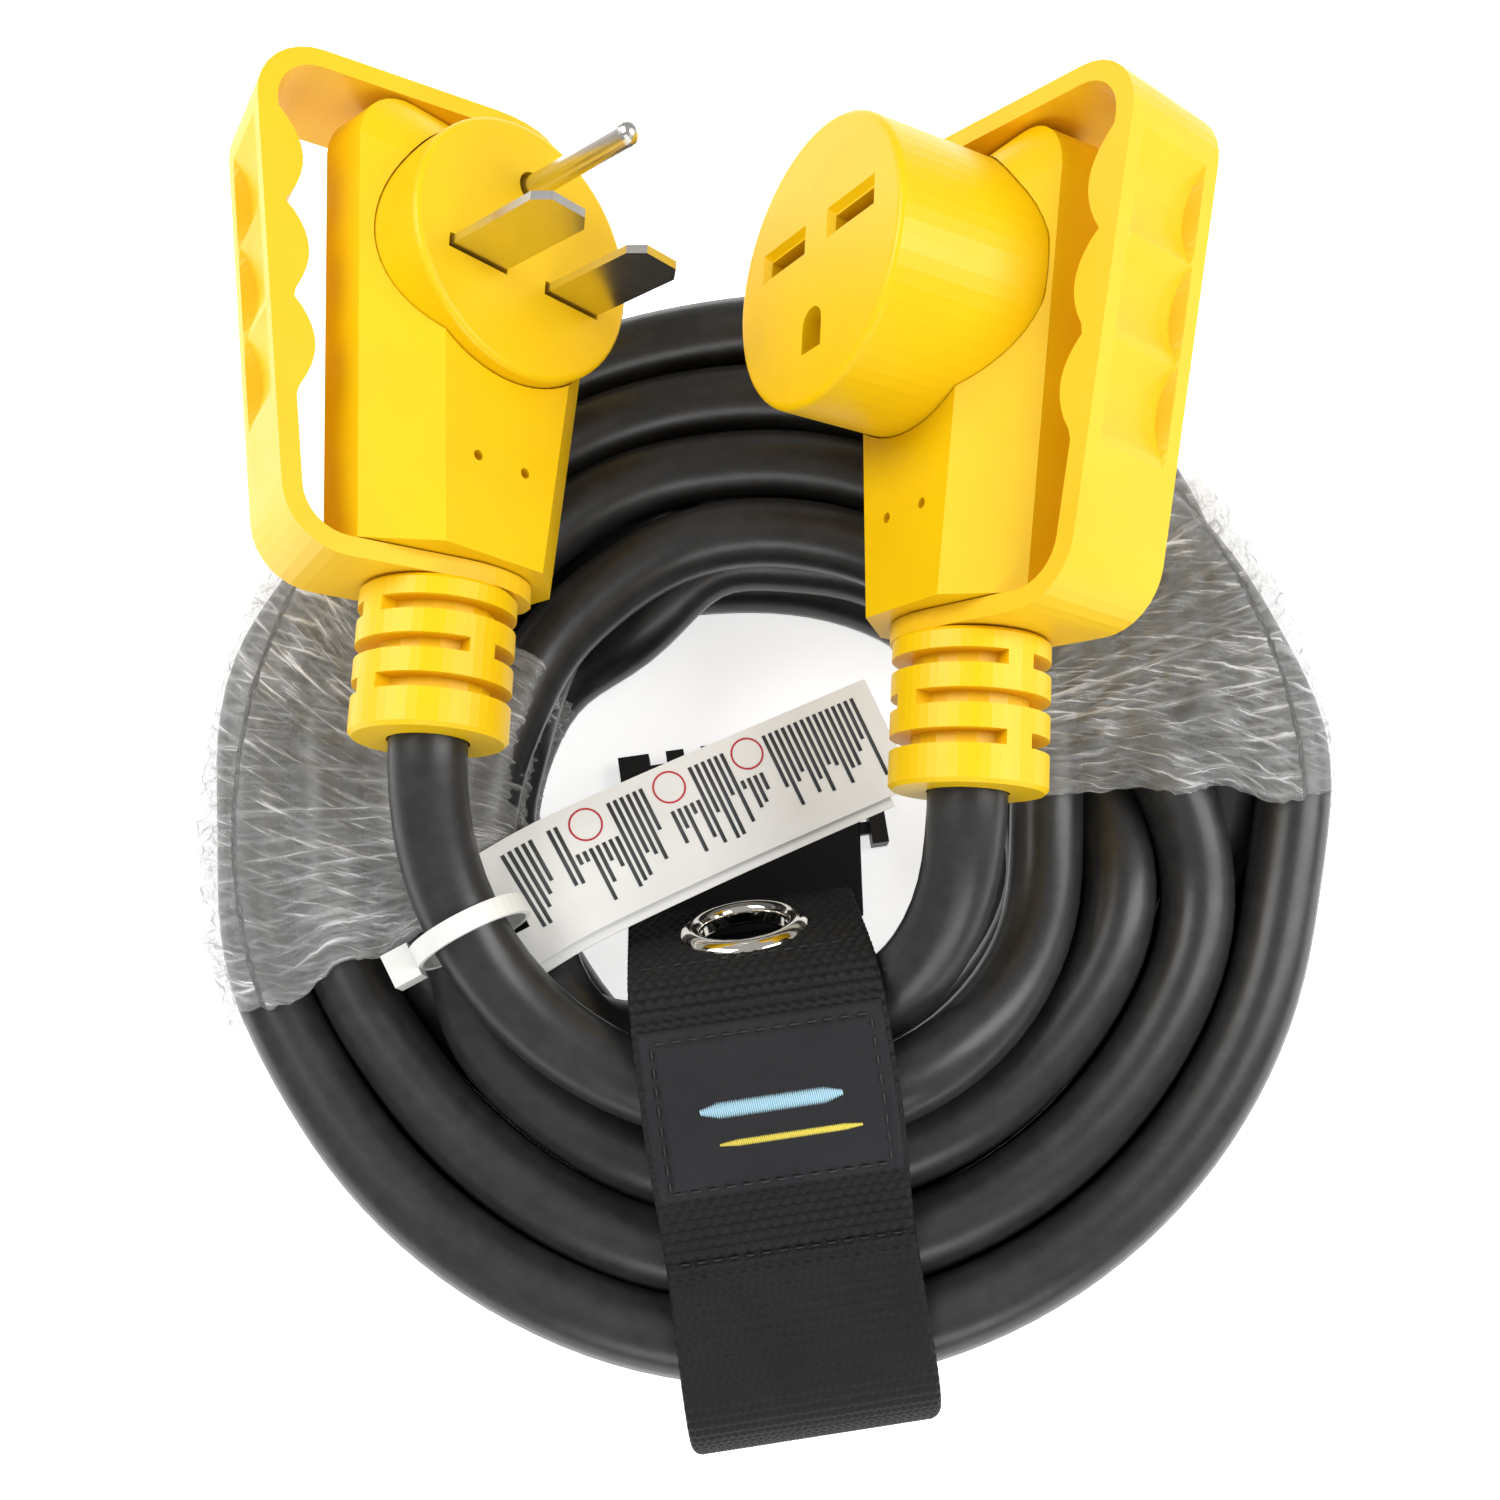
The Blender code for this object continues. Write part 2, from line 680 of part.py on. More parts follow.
def line_centre(side, rise):
    return (side * LINE_OFFSET, FACE_HEIGHT + rise)


def add_plug_contacts(parent, face):
    clearance = 0.0006
    for number, side in ((1, -1), (2, 1)):
        y, z = line_centre(side, PLUG_RISES[0])
        tip = PLUG_FACE_FRONT + BLADE_LENGTH
        half = BLADE_WIDTH / 2
        outline = [
            (CONTACT_TAIL, y - half * SHANK_SHARE),
            (FACE_SEAT, y - half * SHANK_SHARE),
            (FACE_SEAT, y - half),
            (tip - 0.0032, y - half),
            (tip, y - half + 0.0026),
            (tip, y + half - 0.0026),
            (tip - 0.0032, y + half),
            (FACE_SEAT, y + half),
            (FACE_SEAT, y + half * SHANK_SHARE),
            (CONTACT_TAIL, y + half * SHANK_SHARE),
        ]
        blade = flat_outline(f"plug_blade_line_{number}", outline, BLADE_THICKNESS)
        add_part(f"plug_blade_line_{number}", blade, "nickel", parent, Matrix.Translation((0, 0, z)))
        slot = box(
            "blade_slot",
            (FACE_SEAT - 0.001, y - half - clearance, z - BLADE_THICKNESS / 2 - clearance),
            (PLUG_FACE_FRONT + 0.002, y + half + clearance, z + BLADE_THICKNESS / 2 + clearance),
        )
        cut(face, add_cutter(f"plug_blade_slot_{number}", slot, parent))
    height = FACE_HEIGHT + PLUG_RISES[1]
    radius = GROUND_PIN_RADIUS
    tip = PLUG_FACE_FRONT + GROUND_PIN_LENGTH
    profile = [(0, tip)]
    for k in range(1, 6):
        angle = math.pi / 2 * (5 - k) / 5
        profile.append((radius * math.cos(angle), tip - radius + radius * math.sin(angle)))
    profile += [(radius, CONTACT_TAIL), (0, CONTACT_TAIL)]
    matrix = frame_matrix((0, 0, 1), (1, 0, 0), (0, 0, height))
    add_turned("plug_ground_pin", profile, "nickel", parent, matrix, steps=24)
    hole = cylinder("pin_hole", radius + 0.0009, 0, PLUG_FACE_FRONT + 0.002, "X", (0, 0, height), 32)
    cut(face, add_cutter("plug_pin_hole", hole, parent))


def add_connector_contacts(parent, face):
    """Sprung leaf contacts behind the slots, and a sleeve behind the ground opening."""
    leaf = LEAF_THICKNESS
    mouth = CONNECTOR_FACE_FRONT
    for number, side in ((1, -1), (2, 1)):
        y, z = line_centre(side, CONNECTOR_RISES[0])
        half = BLADE_WIDTH / 2
        slot = box(
            "line_slot",
            (mouth - 0.0045, y - half - 0.0004, z - 0.0016),
            (mouth + 0.002, y + half + 0.0004, z + 0.0016),
        )
        chamber = box(
            "line_chamber",
            (FACE_SEAT - 0.001, y - half - 0.0004, z - 0.0030),
            (mouth - 0.0044, y + half + 0.0004, z + 0.0030),
        )
        recess = loft(
            "line_recess",
            [
                [(x, y + a * (half + grow), z + b * (0.0016 + grow)) for a, b in ((-1, -1), (1, -1), (1, 1), (-1, 1))]
                for x, grow in ((mouth - 0.0014, 0.0004), (mouth + 0.0008, 0.0022))
            ],
        )
        for name, data in (("slot", slot), ("chamber", chamber), ("recess", recess)):
            cut(face, add_cutter(f"connector_line_{name}_{number}", data, parent))
        front = mouth - 0.0060
        back = CONTACT_TAIL
        outline = [
            (front, 0.0024),
            (front - 0.005, 0.0006),
            (front - 0.010, 0.0018),
            (0.012, 0.0018),
            (0.012, -0.0018),
            (front - 0.010, -0.0018),
            (front - 0.005, -0.0006),
            (front, -0.0024),
            (front, -0.0024 - leaf * 0.4),
            (front - 0.005, -0.0006 - leaf),
            (front - 0.010, -0.0018 - leaf),
            (0.0112, -0.0018 - leaf),
            (0.0112, -leaf),
            (back, -leaf),
            (back, leaf),
            (0.0112, leaf),
            (0.0112, 0.0018 + leaf),
            (front - 0.010, 0.0018 + leaf),
            (front - 0.005, 0.0006 + leaf),
            (front, 0.0024 + leaf * 0.4),
        ]
        contact = flat_outline(f"connector_contact_line_{number}", outline, LEAF_WIDTH)
        matrix = Matrix.Translation((0, y, z)) @ Matrix.Rotation(math.pi / 2, 4, "X")
        add_part(f"connector_contact_line_{number}", contact, "brass", parent, matrix)


def add_connector_ground(parent, face):
    mouth = CONNECTOR_FACE_FRONT
    height = FACE_HEIGHT + CONNECTOR_RISES[1]
    arch = [(math.cos(math.pi * k / 12) * 0.0034, 0.0013 + math.sin(math.pi * k / 12) * 0.0034) for k in range(13)]
    outline = [(0.0034, -0.0042)] + arch + [(-0.0034, -0.0042)]
    rings = [[(x, y, height + z) for y, z in outline] for x in (0.030, mouth + 0.002)]
    cut(face, add_cutter("connector_ground_opening", loft("ground_opening", rings), parent))
    chamber = cylinder("ground_chamber", 0.0056, FACE_SEAT - 0.001, 0.0305, "X", (0, 0, height), 32)
    cut(face, add_cutter("connector_ground_chamber", chamber, parent))
    profile = [
        (0.0029, 0.0290),
        (0.0045, 0.0290),
        (0.0045, 0.0100),
        (SLEEVE_SHANK_RADIUS, 0.0096),
        (SLEEVE_SHANK_RADIUS, CONTACT_TAIL),
        (0.0, CONTACT_TAIL),
        (0.0, 0.0120),
        (0.0029, 0.0120),
    ]
    outer = profile[1:6]
    inner = [profile[6], profile[7], profile[0]]
    sleeve = [inner[0], inner[1], inner[2], *outer]
    matrix = frame_matrix((0, 0, 1), (1, 0, 0), (0, 0, height))
    add_turned("connector_contact_ground", sleeve, "brass", parent, matrix, steps=32)


def add_conductors(unit, parent, rises, line_gap, ground_gap):
    """Three insulated conductors from the end of the jacket to the contacts' tails."""
    start = JACKET_END + GAP
    low_line = FACE_HEIGHT + rises[0] - line_gap - GAP
    low_ground = FACE_HEIGHT + rises[1] - ground_gap - GAP
    ends = {
        "line_1": (-LINE_OFFSET, low_line, "insulation_black", (0.0, -0.0040)),
        "line_2": (LINE_OFFSET, low_line, "insulation_red", (0.0, 0.0040)),
        "ground": (0.0, low_ground, "insulation_green", (-0.0042, 0.0)),
    }
    for name, (y, top, slot, (x_start, y_start)) in ends.items():
        x_end = 0.0
        route = [
            (x_start, y_start, start),
            (x_start, y_start, start + 0.022),
            ((x_start + x_end) / 2, y_start * 0.65 + y * 0.2, start + 0.037),
            (x_end, y, top - 0.0035),
        ]
        line = resample(catmull_rom(route, 6), 0.004) + [Vector((x_end, y, top))]
        curve = tube_curve(f"{unit}_conductor_{name}", line, 0.0019, 2)
        add_part(f"{unit}_conductor_{name}", curve, slot, parent)


JACKET_END = 0.0040


def make_unit(unit, spot):
    """The empty that carries one end's own frame."""
    empty = bpy.data.objects.new(f"{unit}_frame", None)
    PARTS.objects.link(empty)
    return place(empty, ROOT, frame_matrix(spot["face"], spot["up"], spot["at"]))


def lead_line(spot, route, end_angle, end_height, end_turn):
    """A lead's centreline: straight out of its strain relief, on its route, square to the notch's end wall."""
    frame = frame_matrix(spot["face"], spot["up"], spot["at"])
    inside = [frame @ Vector((0, 0, height)) for height in (JACKET_END, COLLAR_BOTTOM / 2, COLLAR_BOTTOM - 0.001)]
    radial = Vector((math.cos(end_angle), math.sin(end_angle), 0)) * LEAD_END_RADIUS
    along = Vector((-math.sin(end_angle), math.cos(end_angle), 0)) * end_turn
    end = radial + Vector((0, 0, end_height)) - along * GAP
    square = end - along * 0.006
    free = catmull_rom([inside[2], *route, square], 8, inside[1], end + along * 0.006)
    return inside[:2] + resample(free, LEAD_STEP) + [end]


def add_lead(name, points):
    curve = tube_curve(name, points, CABLE_RADIUS, 4)
    return add_part(name, curve, "black_jacket")


def section_loop(inner, outer, low, high, corner, steps=4):
    """A rounded rectangle in (radius, height), from the top of the outer side downwards."""
    centres = (
        (outer - corner, high - corner, 90),
        (outer - corner, low + corner, 0),
        (inner + corner, low + corner, -90),
        (inner + corner, high - corner, -180),
    )
    loop = []
    for r, z, start in centres:
        for k in range(steps + 1):
            angle = math.radians(start - 90 * k / steps)
            loop.append((r + corner * math.cos(angle), z + corner * math.sin(angle)))
    return loop


def sector_band(name, inner_loop, outer_loop, start, end, step=math.radians(5.625)):
    """A closed band round the coil's section: outer skin, inner skin and two ring-shaped ends."""
    count = max(2, round((end - start) / step))
    shape = bmesh.new()
    rows = []
    for k in range(count + 1):
        angle = start + (end - start) * k / count
        direction = Vector((math.cos(angle), math.sin(angle), 0))
        rows.append(
            [[shape.verts.new(direction * r + Vector((0, 0, z))) for r, z in loop] for loop in (inner_loop, outer_loop)]
        )
    size = len(inner_loop)
    for low, high in zip(rows, rows[1:]):
        for skin in range(2):
            for k in range(size):
                after = (k + 1) % size
                shape.faces.new((low[skin][k], low[skin][after], high[skin][after], high[skin][k]))
    for inner_row, outer_row in (rows[0], rows[-1]):
        for k in range(size):
            after = (k + 1) % size
            shape.faces.new((inner_row[k], inner_row[after], outer_row[after], outer_row[k]))
    return mesh_from_bmesh(name, shape)


def strap_frame():
    """X outwards across the bundle, Y along the webbing's width, Z up, from the coil's centre line."""
    outward = Vector((math.cos(STRAP_DIRECTION), math.sin(STRAP_DIRECTION), 0))
    across = Vector((-math.sin(STRAP_DIRECTION), math.cos(STRAP_DIRECTION), 0))
    matrix = Matrix((outward, across, (0, 0, 1))).transposed().to_4x4()
    matrix.translation = across * STRAP_SIDE_SHIFT
    return matrix


def add_coil():
    loop = section_loop(COIL_INNER_RADIUS, COIL_OUTER_RADIUS, 0, COIL_HEIGHT, COIL_CORNER)
    coil = add_turned("cable_coil", loop, "black_jacket", closed=True, steps=64)
    notch = bmesh.new()
    add_arc_block(
        notch,
        (COIL_INNER_RADIUS - 0.01, LEAD_NOTCH_RADIUS),
        (LEAD_NOTCH_FLOOR, COIL_HEIGHT + 0.01),
        (LEAD_NOTCH_START, LEAD_NOTCH_END),
        steps=30,
    )
    cut(coil, add_cutter("lead_notch", mesh_from_bmesh("lead_notch", notch)))
    tunnel = box(
        "strap_tunnel",
        (0.030, -STRAP_WIDTH / 2 - GAP, -0.005),
        (0.140, STRAP_WIDTH / 2 + GAP, STRAP_THICKNESS + GAP),
    )
    cut(coil, add_cutter("strap_tunnel", tunnel, matrix=strap_frame()))
    lift = FILM_LIFT + FILM_THICKNESS
    inner = section_loop(
        COIL_INNER_RADIUS - GAP, COIL_OUTER_RADIUS + GAP, lift - GAP + 0.0006, COIL_HEIGHT + GAP, COIL_CORNER
    )
    outer = section_loop(COIL_INNER_RADIUS - 0.01, COIL_OUTER_RADIUS + 0.01, -0.01, COIL_HEIGHT + 0.01, COIL_CORNER)
    for name, (start, end) in FILM_RANGES.items():
        spread = math.radians(0.4)
        band = sector_band(f"{name}_seat", inner, outer, math.radians(start) - spread, math.radians(end) + spread)
        cut(coil, add_cutter(f"{name}_seat", band))
    return coil


def add_films():
    margin = 0.0006
    inner = section_loop(
        COIL_INNER_RADIUS - margin, COIL_OUTER_RADIUS + margin, FILM_LIFT + FILM_THICKNESS - 0.0003, COIL_HEIGHT + margin,
        COIL_CORNER,
    )
    outer = section_loop(
        COIL_INNER_RADIUS - margin - FILM_THICKNESS,
        COIL_OUTER_RADIUS + margin + FILM_THICKNESS,
        0.0003,
        COIL_HEIGHT + margin + FILM_THICKNESS,
        COIL_CORNER,
    )
    for name, (start, end) in FILM_RANGES.items():
        band = sector_band(name, inner, outer, math.radians(start), math.radians(end))
        add_part(name, band, "film")


def strap_line():
    """The webbing's middle line, in the strap's own frame."""
    return catmull_rom([(out, drift, height) for out, height, drift in STRAP_ROUTE], 3)


def line_normals(points):
    """Normals in the XZ plane, pointing away from the bundle, one for each point of a strap line."""
    normals = []
    for k in range(len(points)):
        before = points[max(k - 1, 0)]
        after = points[min(k + 1, len(points) - 1)]
        along = (after - before).normalized()
        normals.append(Vector((-along.z, 0, along.x)).normalized())
    return normals


def band_rings(points, half_width, low, high):
    """Four-cornered rings along a strap line, from one offset to another along its normal."""
    rings = []
    for point, normal in zip(points, line_normals(points)):
        side = Vector((0, half_width, 0))
        rings.append(
            [
                point - side + normal * low,
                point + side + normal * low,
                point + side + normal * high,
                point - side + normal * high,
            ]
        )
    return rings


def station_frame(points, out, height):
    """A frame on the strap at the point nearest a place: Z off its surface, Y across it."""
    target = Vector((out, 0, height))
    nearest = min(range(len(points)), key=lambda k: (Vector((points[k].x, 0, points[k].z)) - target).length)
    normal = line_normals(points)[nearest]
    along = Vector((normal.z, 0, -normal.x))
    matrix = Matrix((along, Vector((0, 1, 0)), normal)).transposed().to_4x4()
    matrix.translation = points[nearest]
    return matrix


def add_strap():
    frame = strap_frame()
    points = strap_line()
    half = STRAP_THICKNESS / 2
    mesh = loft("strap_webbing", band_rings(points, STRAP_WIDTH / 2, -half, half))
    strap = add_part("strap_webbing", mesh, "webbing", matrix=frame)
    spot = station_frame(points, *GROMMET_STATION)
    barrel = GROMMET_HOLE_RADIUS + 0.0009
    hole = cylinder("grommet_hole", barrel + GAP, -0.006, 0.006, segments=32)
    cut(strap, add_cutter("grommet_hole", hole, matrix=frame @ spot))
    top = half + GAP
    flange = [
        (GROMMET_HOLE_RADIUS, top + 0.0010),
        (GROMMET_HOLE_RADIUS + 0.0009, top + 0.0019),
        (GROMMET_RADIUS - 0.0012, top + 0.0019),
        (GROMMET_RADIUS - 0.0002, top + 0.0010),
        (GROMMET_RADIUS, top),
        (barrel, top),
        (barrel, -top - 0.0010),
        (GROMMET_HOLE_RADIUS, -top - 0.0010),
    ]
    add_turned("grommet_flange", flange, "nickel", matrix=frame @ spot, closed=True, steps=40)
    washer = [
        (barrel + GAP, -top),
        (GROMMET_RADIUS, -top),
        (GROMMET_RADIUS - 0.0006, -top - 0.0009),
        (barrel + GAP, -top - 0.0009),
    ]
    add_turned("grommet_washer", washer, "nickel", matrix=frame @ spot, closed=True, steps=40)
    patch = [point for point in points if point.z > LABEL_STATION[1] / 2 and abs(point.x - LABEL_STATION[0]) < LABEL_LENGTH / 2]
    label = loft("strap_label", band_rings(patch, STRAP_WIDTH / 2 - 0.0012, half + GAP, half + GAP + LABEL_THICKNESS))
    add_part("strap_label", label, "label_satin", matrix=frame)
    add_buckle(frame)


def add_buckle(frame):
    """A cinch plate: a bar inside the webbing's sewn loop, side arms, and a flat far edge with ribs."""
    drift = 0.0070
    opening = STRAP_WIDTH / 2 + 0.0018
    near = BUCKLE_BAR + 0.0015
    far = near - BUCKLE_LENGTH
    edge = opening + 0.0040
    plate = box("strap_buckle", (far, drift - edge, 0.0006), (near + 0.0030, drift + edge, 0.0072))
    buckle = add_part("strap_buckle", plate, "black_plastic", matrix=frame)
    web_end = BUCKLE_BAR - 0.0082
    low, high = drift - opening, drift + opening
    cutters = {
        "loop_slot": box("loop_slot", (web_end, low, -0.002), (BUCKLE_BAR - 0.0015, high, 0.010)),
        "bar_top": box("bar_top", (web_end + 0.001, low, 0.0050), (near + 0.005, high, 0.010)),
        "bar_bottom": box("bar_bottom", (web_end + 0.001, low, -0.002), (near + 0.005, high, 0.0026)),
        "behind_bar": box("behind_bar", (near, low, -0.002), (near + 0.005, high, 0.010)),
    }
    for name, data in cutters.items():
        cut(buckle, add_cutter(f"buckle_{name}", data, matrix=frame))
    shape = bmesh.new()
    for k in range(6):
        y = drift + (k - 2.5) * 0.0086
        made = bmesh.ops.create_cube(shape, size=1)
        size = Matrix.Diagonal((0.0060, 0.0042, 0.0200, 1))
        bmesh.ops.transform(shape, matrix=Matrix.Translation((far, y, 0.004)) @ size, verts=made["verts"])
    cut(buckle, add_cutter("buckle_ribs", mesh_from_bmesh("buckle_ribs", shape), matrix=frame))


def tie_frame(lead):
    """A frame at the tie: Z level along the plug's lead, X towards the coil's outside."""
    target = Vector(TIE_POINT)
    nearest = min(range(1, len(lead) - 1), key=lambda k: (lead[k] - target).length)
    along = lead[nearest + 1] - lead[nearest - 1]
    along.z = 0
    matrix = frame_matrix((-1, 0, 0), along, lead[nearest])
    matrix.translation += Vector((0, 0, -TIE_SAG))
    return matrix


def add_tie_and_tag(lead):
    matrix = tie_frame(lead)
    half = TIE_WIDTH / 2
    outer = TIE_INNER_RADIUS + TIE_THICKNESS
    loop = [(TIE_INNER_RADIUS, half), (outer, half), (outer, -half), (TIE_INNER_RADIUS, -half)]
    tie = add_turned("tag_tie", loop, "white_nylon", matrix=matrix, closed=True, steps=40)
    head = box("tie_head", (outer - 0.0006, -0.0034, -0.0036), (outer + 0.0052, 0.0034, 0.0036))
    joined = add_cutter("tie_head", head, matrix=matrix)
    union = tie.modifiers.new("head", "BOOLEAN")
    union.operation = "UNION"
    union.object = joined
    union.solver = "EXACT"
    points = resample(catmull_rom(TAG_ROUTE, 6), 0.006)
    for name, drop, trim in (("tag_front_leaf", 0.0, 0), ("tag_back_leaf", -0.0011, 1)):
        rings = []
        for k, point in enumerate(points[: len(points) - trim]):
            before = points[max(k - 1, 0)]
            after = points[min(k + 1, len(points) - 1)]
            along = (after - before).normalized()
            side = Vector((0, 0, 1)).cross(along).normalized()
            up = along.cross(side)
            shift = side * (-0.0022 if trim else 0.0) + up * drop
            corners = ((-1, 0), (1, 0), (1, 1), (-1, 1))
            rings.append([point + shift + side * (a * TAG_WIDTH / 2) + up * (b * TAG_THICKNESS) for a, b in corners])
        leaf = add_part(name, loft(name, rings), "tag_paper")
        slot = box("tie_slot", (-0.0105, 0.004, -half - 0.0010), (-0.0022, 0.020, half + 0.0010))
        cut(leaf, add_cutter(f"{name}_tie_slot", slot, matrix=matrix))


def build():
    plug = make_unit("plug", PLUG_PLACE)
    add_shell("plug", plug, PLUG_FACE_RADIUS)
    add_strain_relief("plug", plug)
    add_handle("plug", plug, PLUG_HANDLE_ANGLE)
    plug_face = face_disc("plug_face", PLUG_FACE_RADIUS, PLUG_FACE_FRONT, plug)
    add_plug_contacts(plug, plug_face)
    shank = BLADE_WIDTH / 2 * SHANK_SHARE
    add_carrier("plug", plug, PLUG_RISES, shank, BLADE_THICKNESS / 2, GROUND_PIN_RADIUS)
    add_conductors("plug", plug, PLUG_RISES, BLADE_THICKNESS / 2, GROUND_PIN_RADIUS)

    connector = make_unit("connector", CONNECTOR_PLACE)
    add_shell("connector", connector, CONNECTOR_FACE_RADIUS)
    add_strain_relief("connector", connector)
    add_handle("connector", connector, CONNECTOR_HANDLE_ANGLE)
    connector_face = face_disc("connector_face", CONNECTOR_FACE_RADIUS, CONNECTOR_FACE_FRONT, connector)
    add_connector_contacts(connector, connector_face)
    add_connector_ground(connector, connector_face)
    add_carrier("connector", connector, CONNECTOR_RISES, LEAF_WIDTH / 2, LEAF_THICKNESS, SLEEVE_SHANK_RADIUS)
    add_conductors("connector", connector, CONNECTOR_RISES, LEAF_THICKNESS, SLEEVE_SHANK_RADIUS)

    plug_line = lead_line(PLUG_PLACE, PLUG_LEAD_ROUTE, LEAD_NOTCH_END, PLUG_LEAD_END_HEIGHT, 1)
    connector_line = lead_line(
        CONNECTOR_PLACE, CONNECTOR_LEAD_ROUTE, LEAD_NOTCH_START, CONNECTOR_LEAD_END_HEIGHT, -1
    )
    add_lead("cable_lead_plug", plug_line)
    add_lead("cable_lead_connector", connector_line)
    add_coil()
    add_films()
    add_strap()
    add_tie_and_tag(plug_line)


build()
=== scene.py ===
"""Looks for the coiled shore power cord: cable, strap, film, tag, materials, light and camera."""

import json
import math

import bmesh
import bpy
import numpy as np
from mathutils import Matrix, Vector, noise


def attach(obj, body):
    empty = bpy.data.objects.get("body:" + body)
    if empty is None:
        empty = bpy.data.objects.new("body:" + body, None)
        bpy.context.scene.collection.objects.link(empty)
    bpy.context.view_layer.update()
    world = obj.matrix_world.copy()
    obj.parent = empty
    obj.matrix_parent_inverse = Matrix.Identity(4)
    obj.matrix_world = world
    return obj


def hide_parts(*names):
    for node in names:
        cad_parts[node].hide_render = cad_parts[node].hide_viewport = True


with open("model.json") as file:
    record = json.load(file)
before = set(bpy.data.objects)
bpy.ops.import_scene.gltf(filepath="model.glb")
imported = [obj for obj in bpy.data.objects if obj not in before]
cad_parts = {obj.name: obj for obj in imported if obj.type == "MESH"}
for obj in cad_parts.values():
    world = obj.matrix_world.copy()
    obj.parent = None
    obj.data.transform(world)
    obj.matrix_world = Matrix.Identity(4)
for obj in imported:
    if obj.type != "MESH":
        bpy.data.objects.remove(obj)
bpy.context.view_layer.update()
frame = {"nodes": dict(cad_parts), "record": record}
NODES = frame["nodes"]

# Driving dimensions, in metres.
CENTRE_Y = -0.00075
CABLE_RADIUS = 0.008
COIL_INNER = 0.0545
COIL_COLUMNS = 4
COIL_ROWS = 3
COLUMN_PITCH = 0.0168
ROW_PITCH = 0.0159
MIDDLE_ROW_STAGGER = 0.0012
INNER_CLEARANCE = 0.0008
COIL_CEILING = 0.0404
NOTCH_START = math.radians(-18)
NOTCH_SWEEP = math.radians(241)
STRAP_WIDTH = 0.0508
STRAP_THICKNESS = 0.0018
STRAP_DIRECTION = math.radians(-81.7)
STRAP_SIDE_SHIFT = -0.0097

# The leads' routes, from the strain reliefs, as the model has them, from the coil's centre.
PLUG_LEAD_ROUTE = (
    (-0.0685, -0.0060, 0.0735),
    (-0.0668, -0.0180, 0.0688),
    (-0.0622, -0.0300, 0.0638),
    (-0.0540, -0.0425, 0.0597),
    (-0.0430, -0.0525, 0.0574),
    (-0.0300, -0.0600, 0.0566),
    (-0.0150, -0.0648, 0.0566),
    (0.0020, -0.0665, 0.0566),
    (0.0190, -0.0640, 0.0562),
    (0.0340, -0.0572, 0.0550),
    (0.0462, -0.0462, 0.0515),
    (0.0550, -0.0350, 0.0455),
)
CONNECTOR_LEAD_ROUTE = (
    (0.0382, -0.0150, 0.0735),
    (0.0368, -0.0245, 0.0685),
    (0.0325, -0.0350, 0.0620),
    (0.0255, -0.0430, 0.0555),
    (0.0150, -0.0480, 0.0490),
    (0.0020, -0.0510, 0.0425),
    (-0.0120, -0.0535, 0.0365),
    (-0.0255, -0.0545, 0.0310),
    (-0.0375, -0.0520, 0.0262),
)
PLUG_PLACE = {"at": (-0.0676, 0.0396, 0.0768), "face": (0.737, -0.029, 0.675), "up": (0.029, 1.0, 0.011)}
CONNECTOR_PLACE = {"at": (0.0405, 0.0292, 0.0786), "face": (-0.865, 0.008, 0.502), "up": (0.05, 0.996, 0.069)}
COLLAR_BOTTOM = -0.0350

# Where four neighbouring turns twist a quarter round each other: lower inner column, row, and direction.
TWISTS = ((1, 1, 1), (2, 1, 1), (2, 0, -1), (0, 0, 1), (1, 1, 1), (0, 1, -1))
TWIST_SPAN = math.radians(36)


# ---------------------------------------------------------------- helpers


def node(name):
    return NODES[name]


def frame_matrix(x_axis, z_axis, origin=(0, 0, 0)):
    """A frame with its Z along z_axis and its X as near to x_axis as square corners allow."""
    z_axis = Vector(z_axis).normalized()
    x_axis = Vector(x_axis)
    x_axis = (x_axis - z_axis * x_axis.dot(z_axis)).normalized()
    y_axis = z_axis.cross(x_axis)
    matrix = Matrix((x_axis, y_axis, z_axis)).transposed().to_4x4()
    matrix.translation = Vector(origin) + Vector((0, CENTRE_Y, 0))
    return matrix


PLUG = frame_matrix(PLUG_PLACE["face"], PLUG_PLACE["up"], PLUG_PLACE["at"])
CONNECTOR = frame_matrix(CONNECTOR_PLACE["face"], CONNECTOR_PLACE["up"], CONNECTOR_PLACE["at"])


def catmull_rom(points, pieces, before=None, after=None):
    points = [Vector(point) for point in points]
    first = before or points[0] * 2 - points[1]
    last = after or points[-1] * 2 - points[-2]
    padded = [first, *points, last]
    found = []
    for k in range(1, len(padded) - 2):
        p0, p1, p2, p3 = padded[k - 1 : k + 3]
        for step in range(pieces):
            t = step / pieces
            found.append(
                0.5
                * (
                    2 * p1
                    + (p2 - p0) * t
                    + (2 * p0 - 5 * p1 + 4 * p2 - p3) * t * t
                    + (3 * p1 - p0 - 3 * p2 + p3) * t * t * t
                )
            )
    found.append(points[-1])
    return found


def resample(points, spacing):
    """Evenly spaced points along a polyline, as an array, keeping both ends."""
    line = np.array([tuple(point) for point in points])
    steps = np.linalg.norm(np.diff(line, axis=0), axis=1)
    along = np.concatenate([[0], np.cumsum(steps)])
    count = max(2, round(along[-1] / spacing))
    places = np.linspace(0, along[-1], count + 1)
    return np.stack([np.interp(places, along, line[:, axis]) for axis in range(3)], axis=1)


def smooth_step(t):
    t = min(max(t, 0.0), 1.0)
    return t * t * (3 - 2 * t)


def new_object(name, data):
    obj = bpy.data.objects.new(name, data)
    bpy.context.scene.collection.objects.link(obj)
    return obj


def mesh_object(name, vertices, faces, smooth=True):
    mesh = bpy.data.meshes.new(name)
    mesh.from_pydata([tuple(v) for v in vertices], [], faces)
    mesh.validate()
    mesh.update()
    if smooth:
        mesh.shade_smooth()
    return new_object(name, mesh)


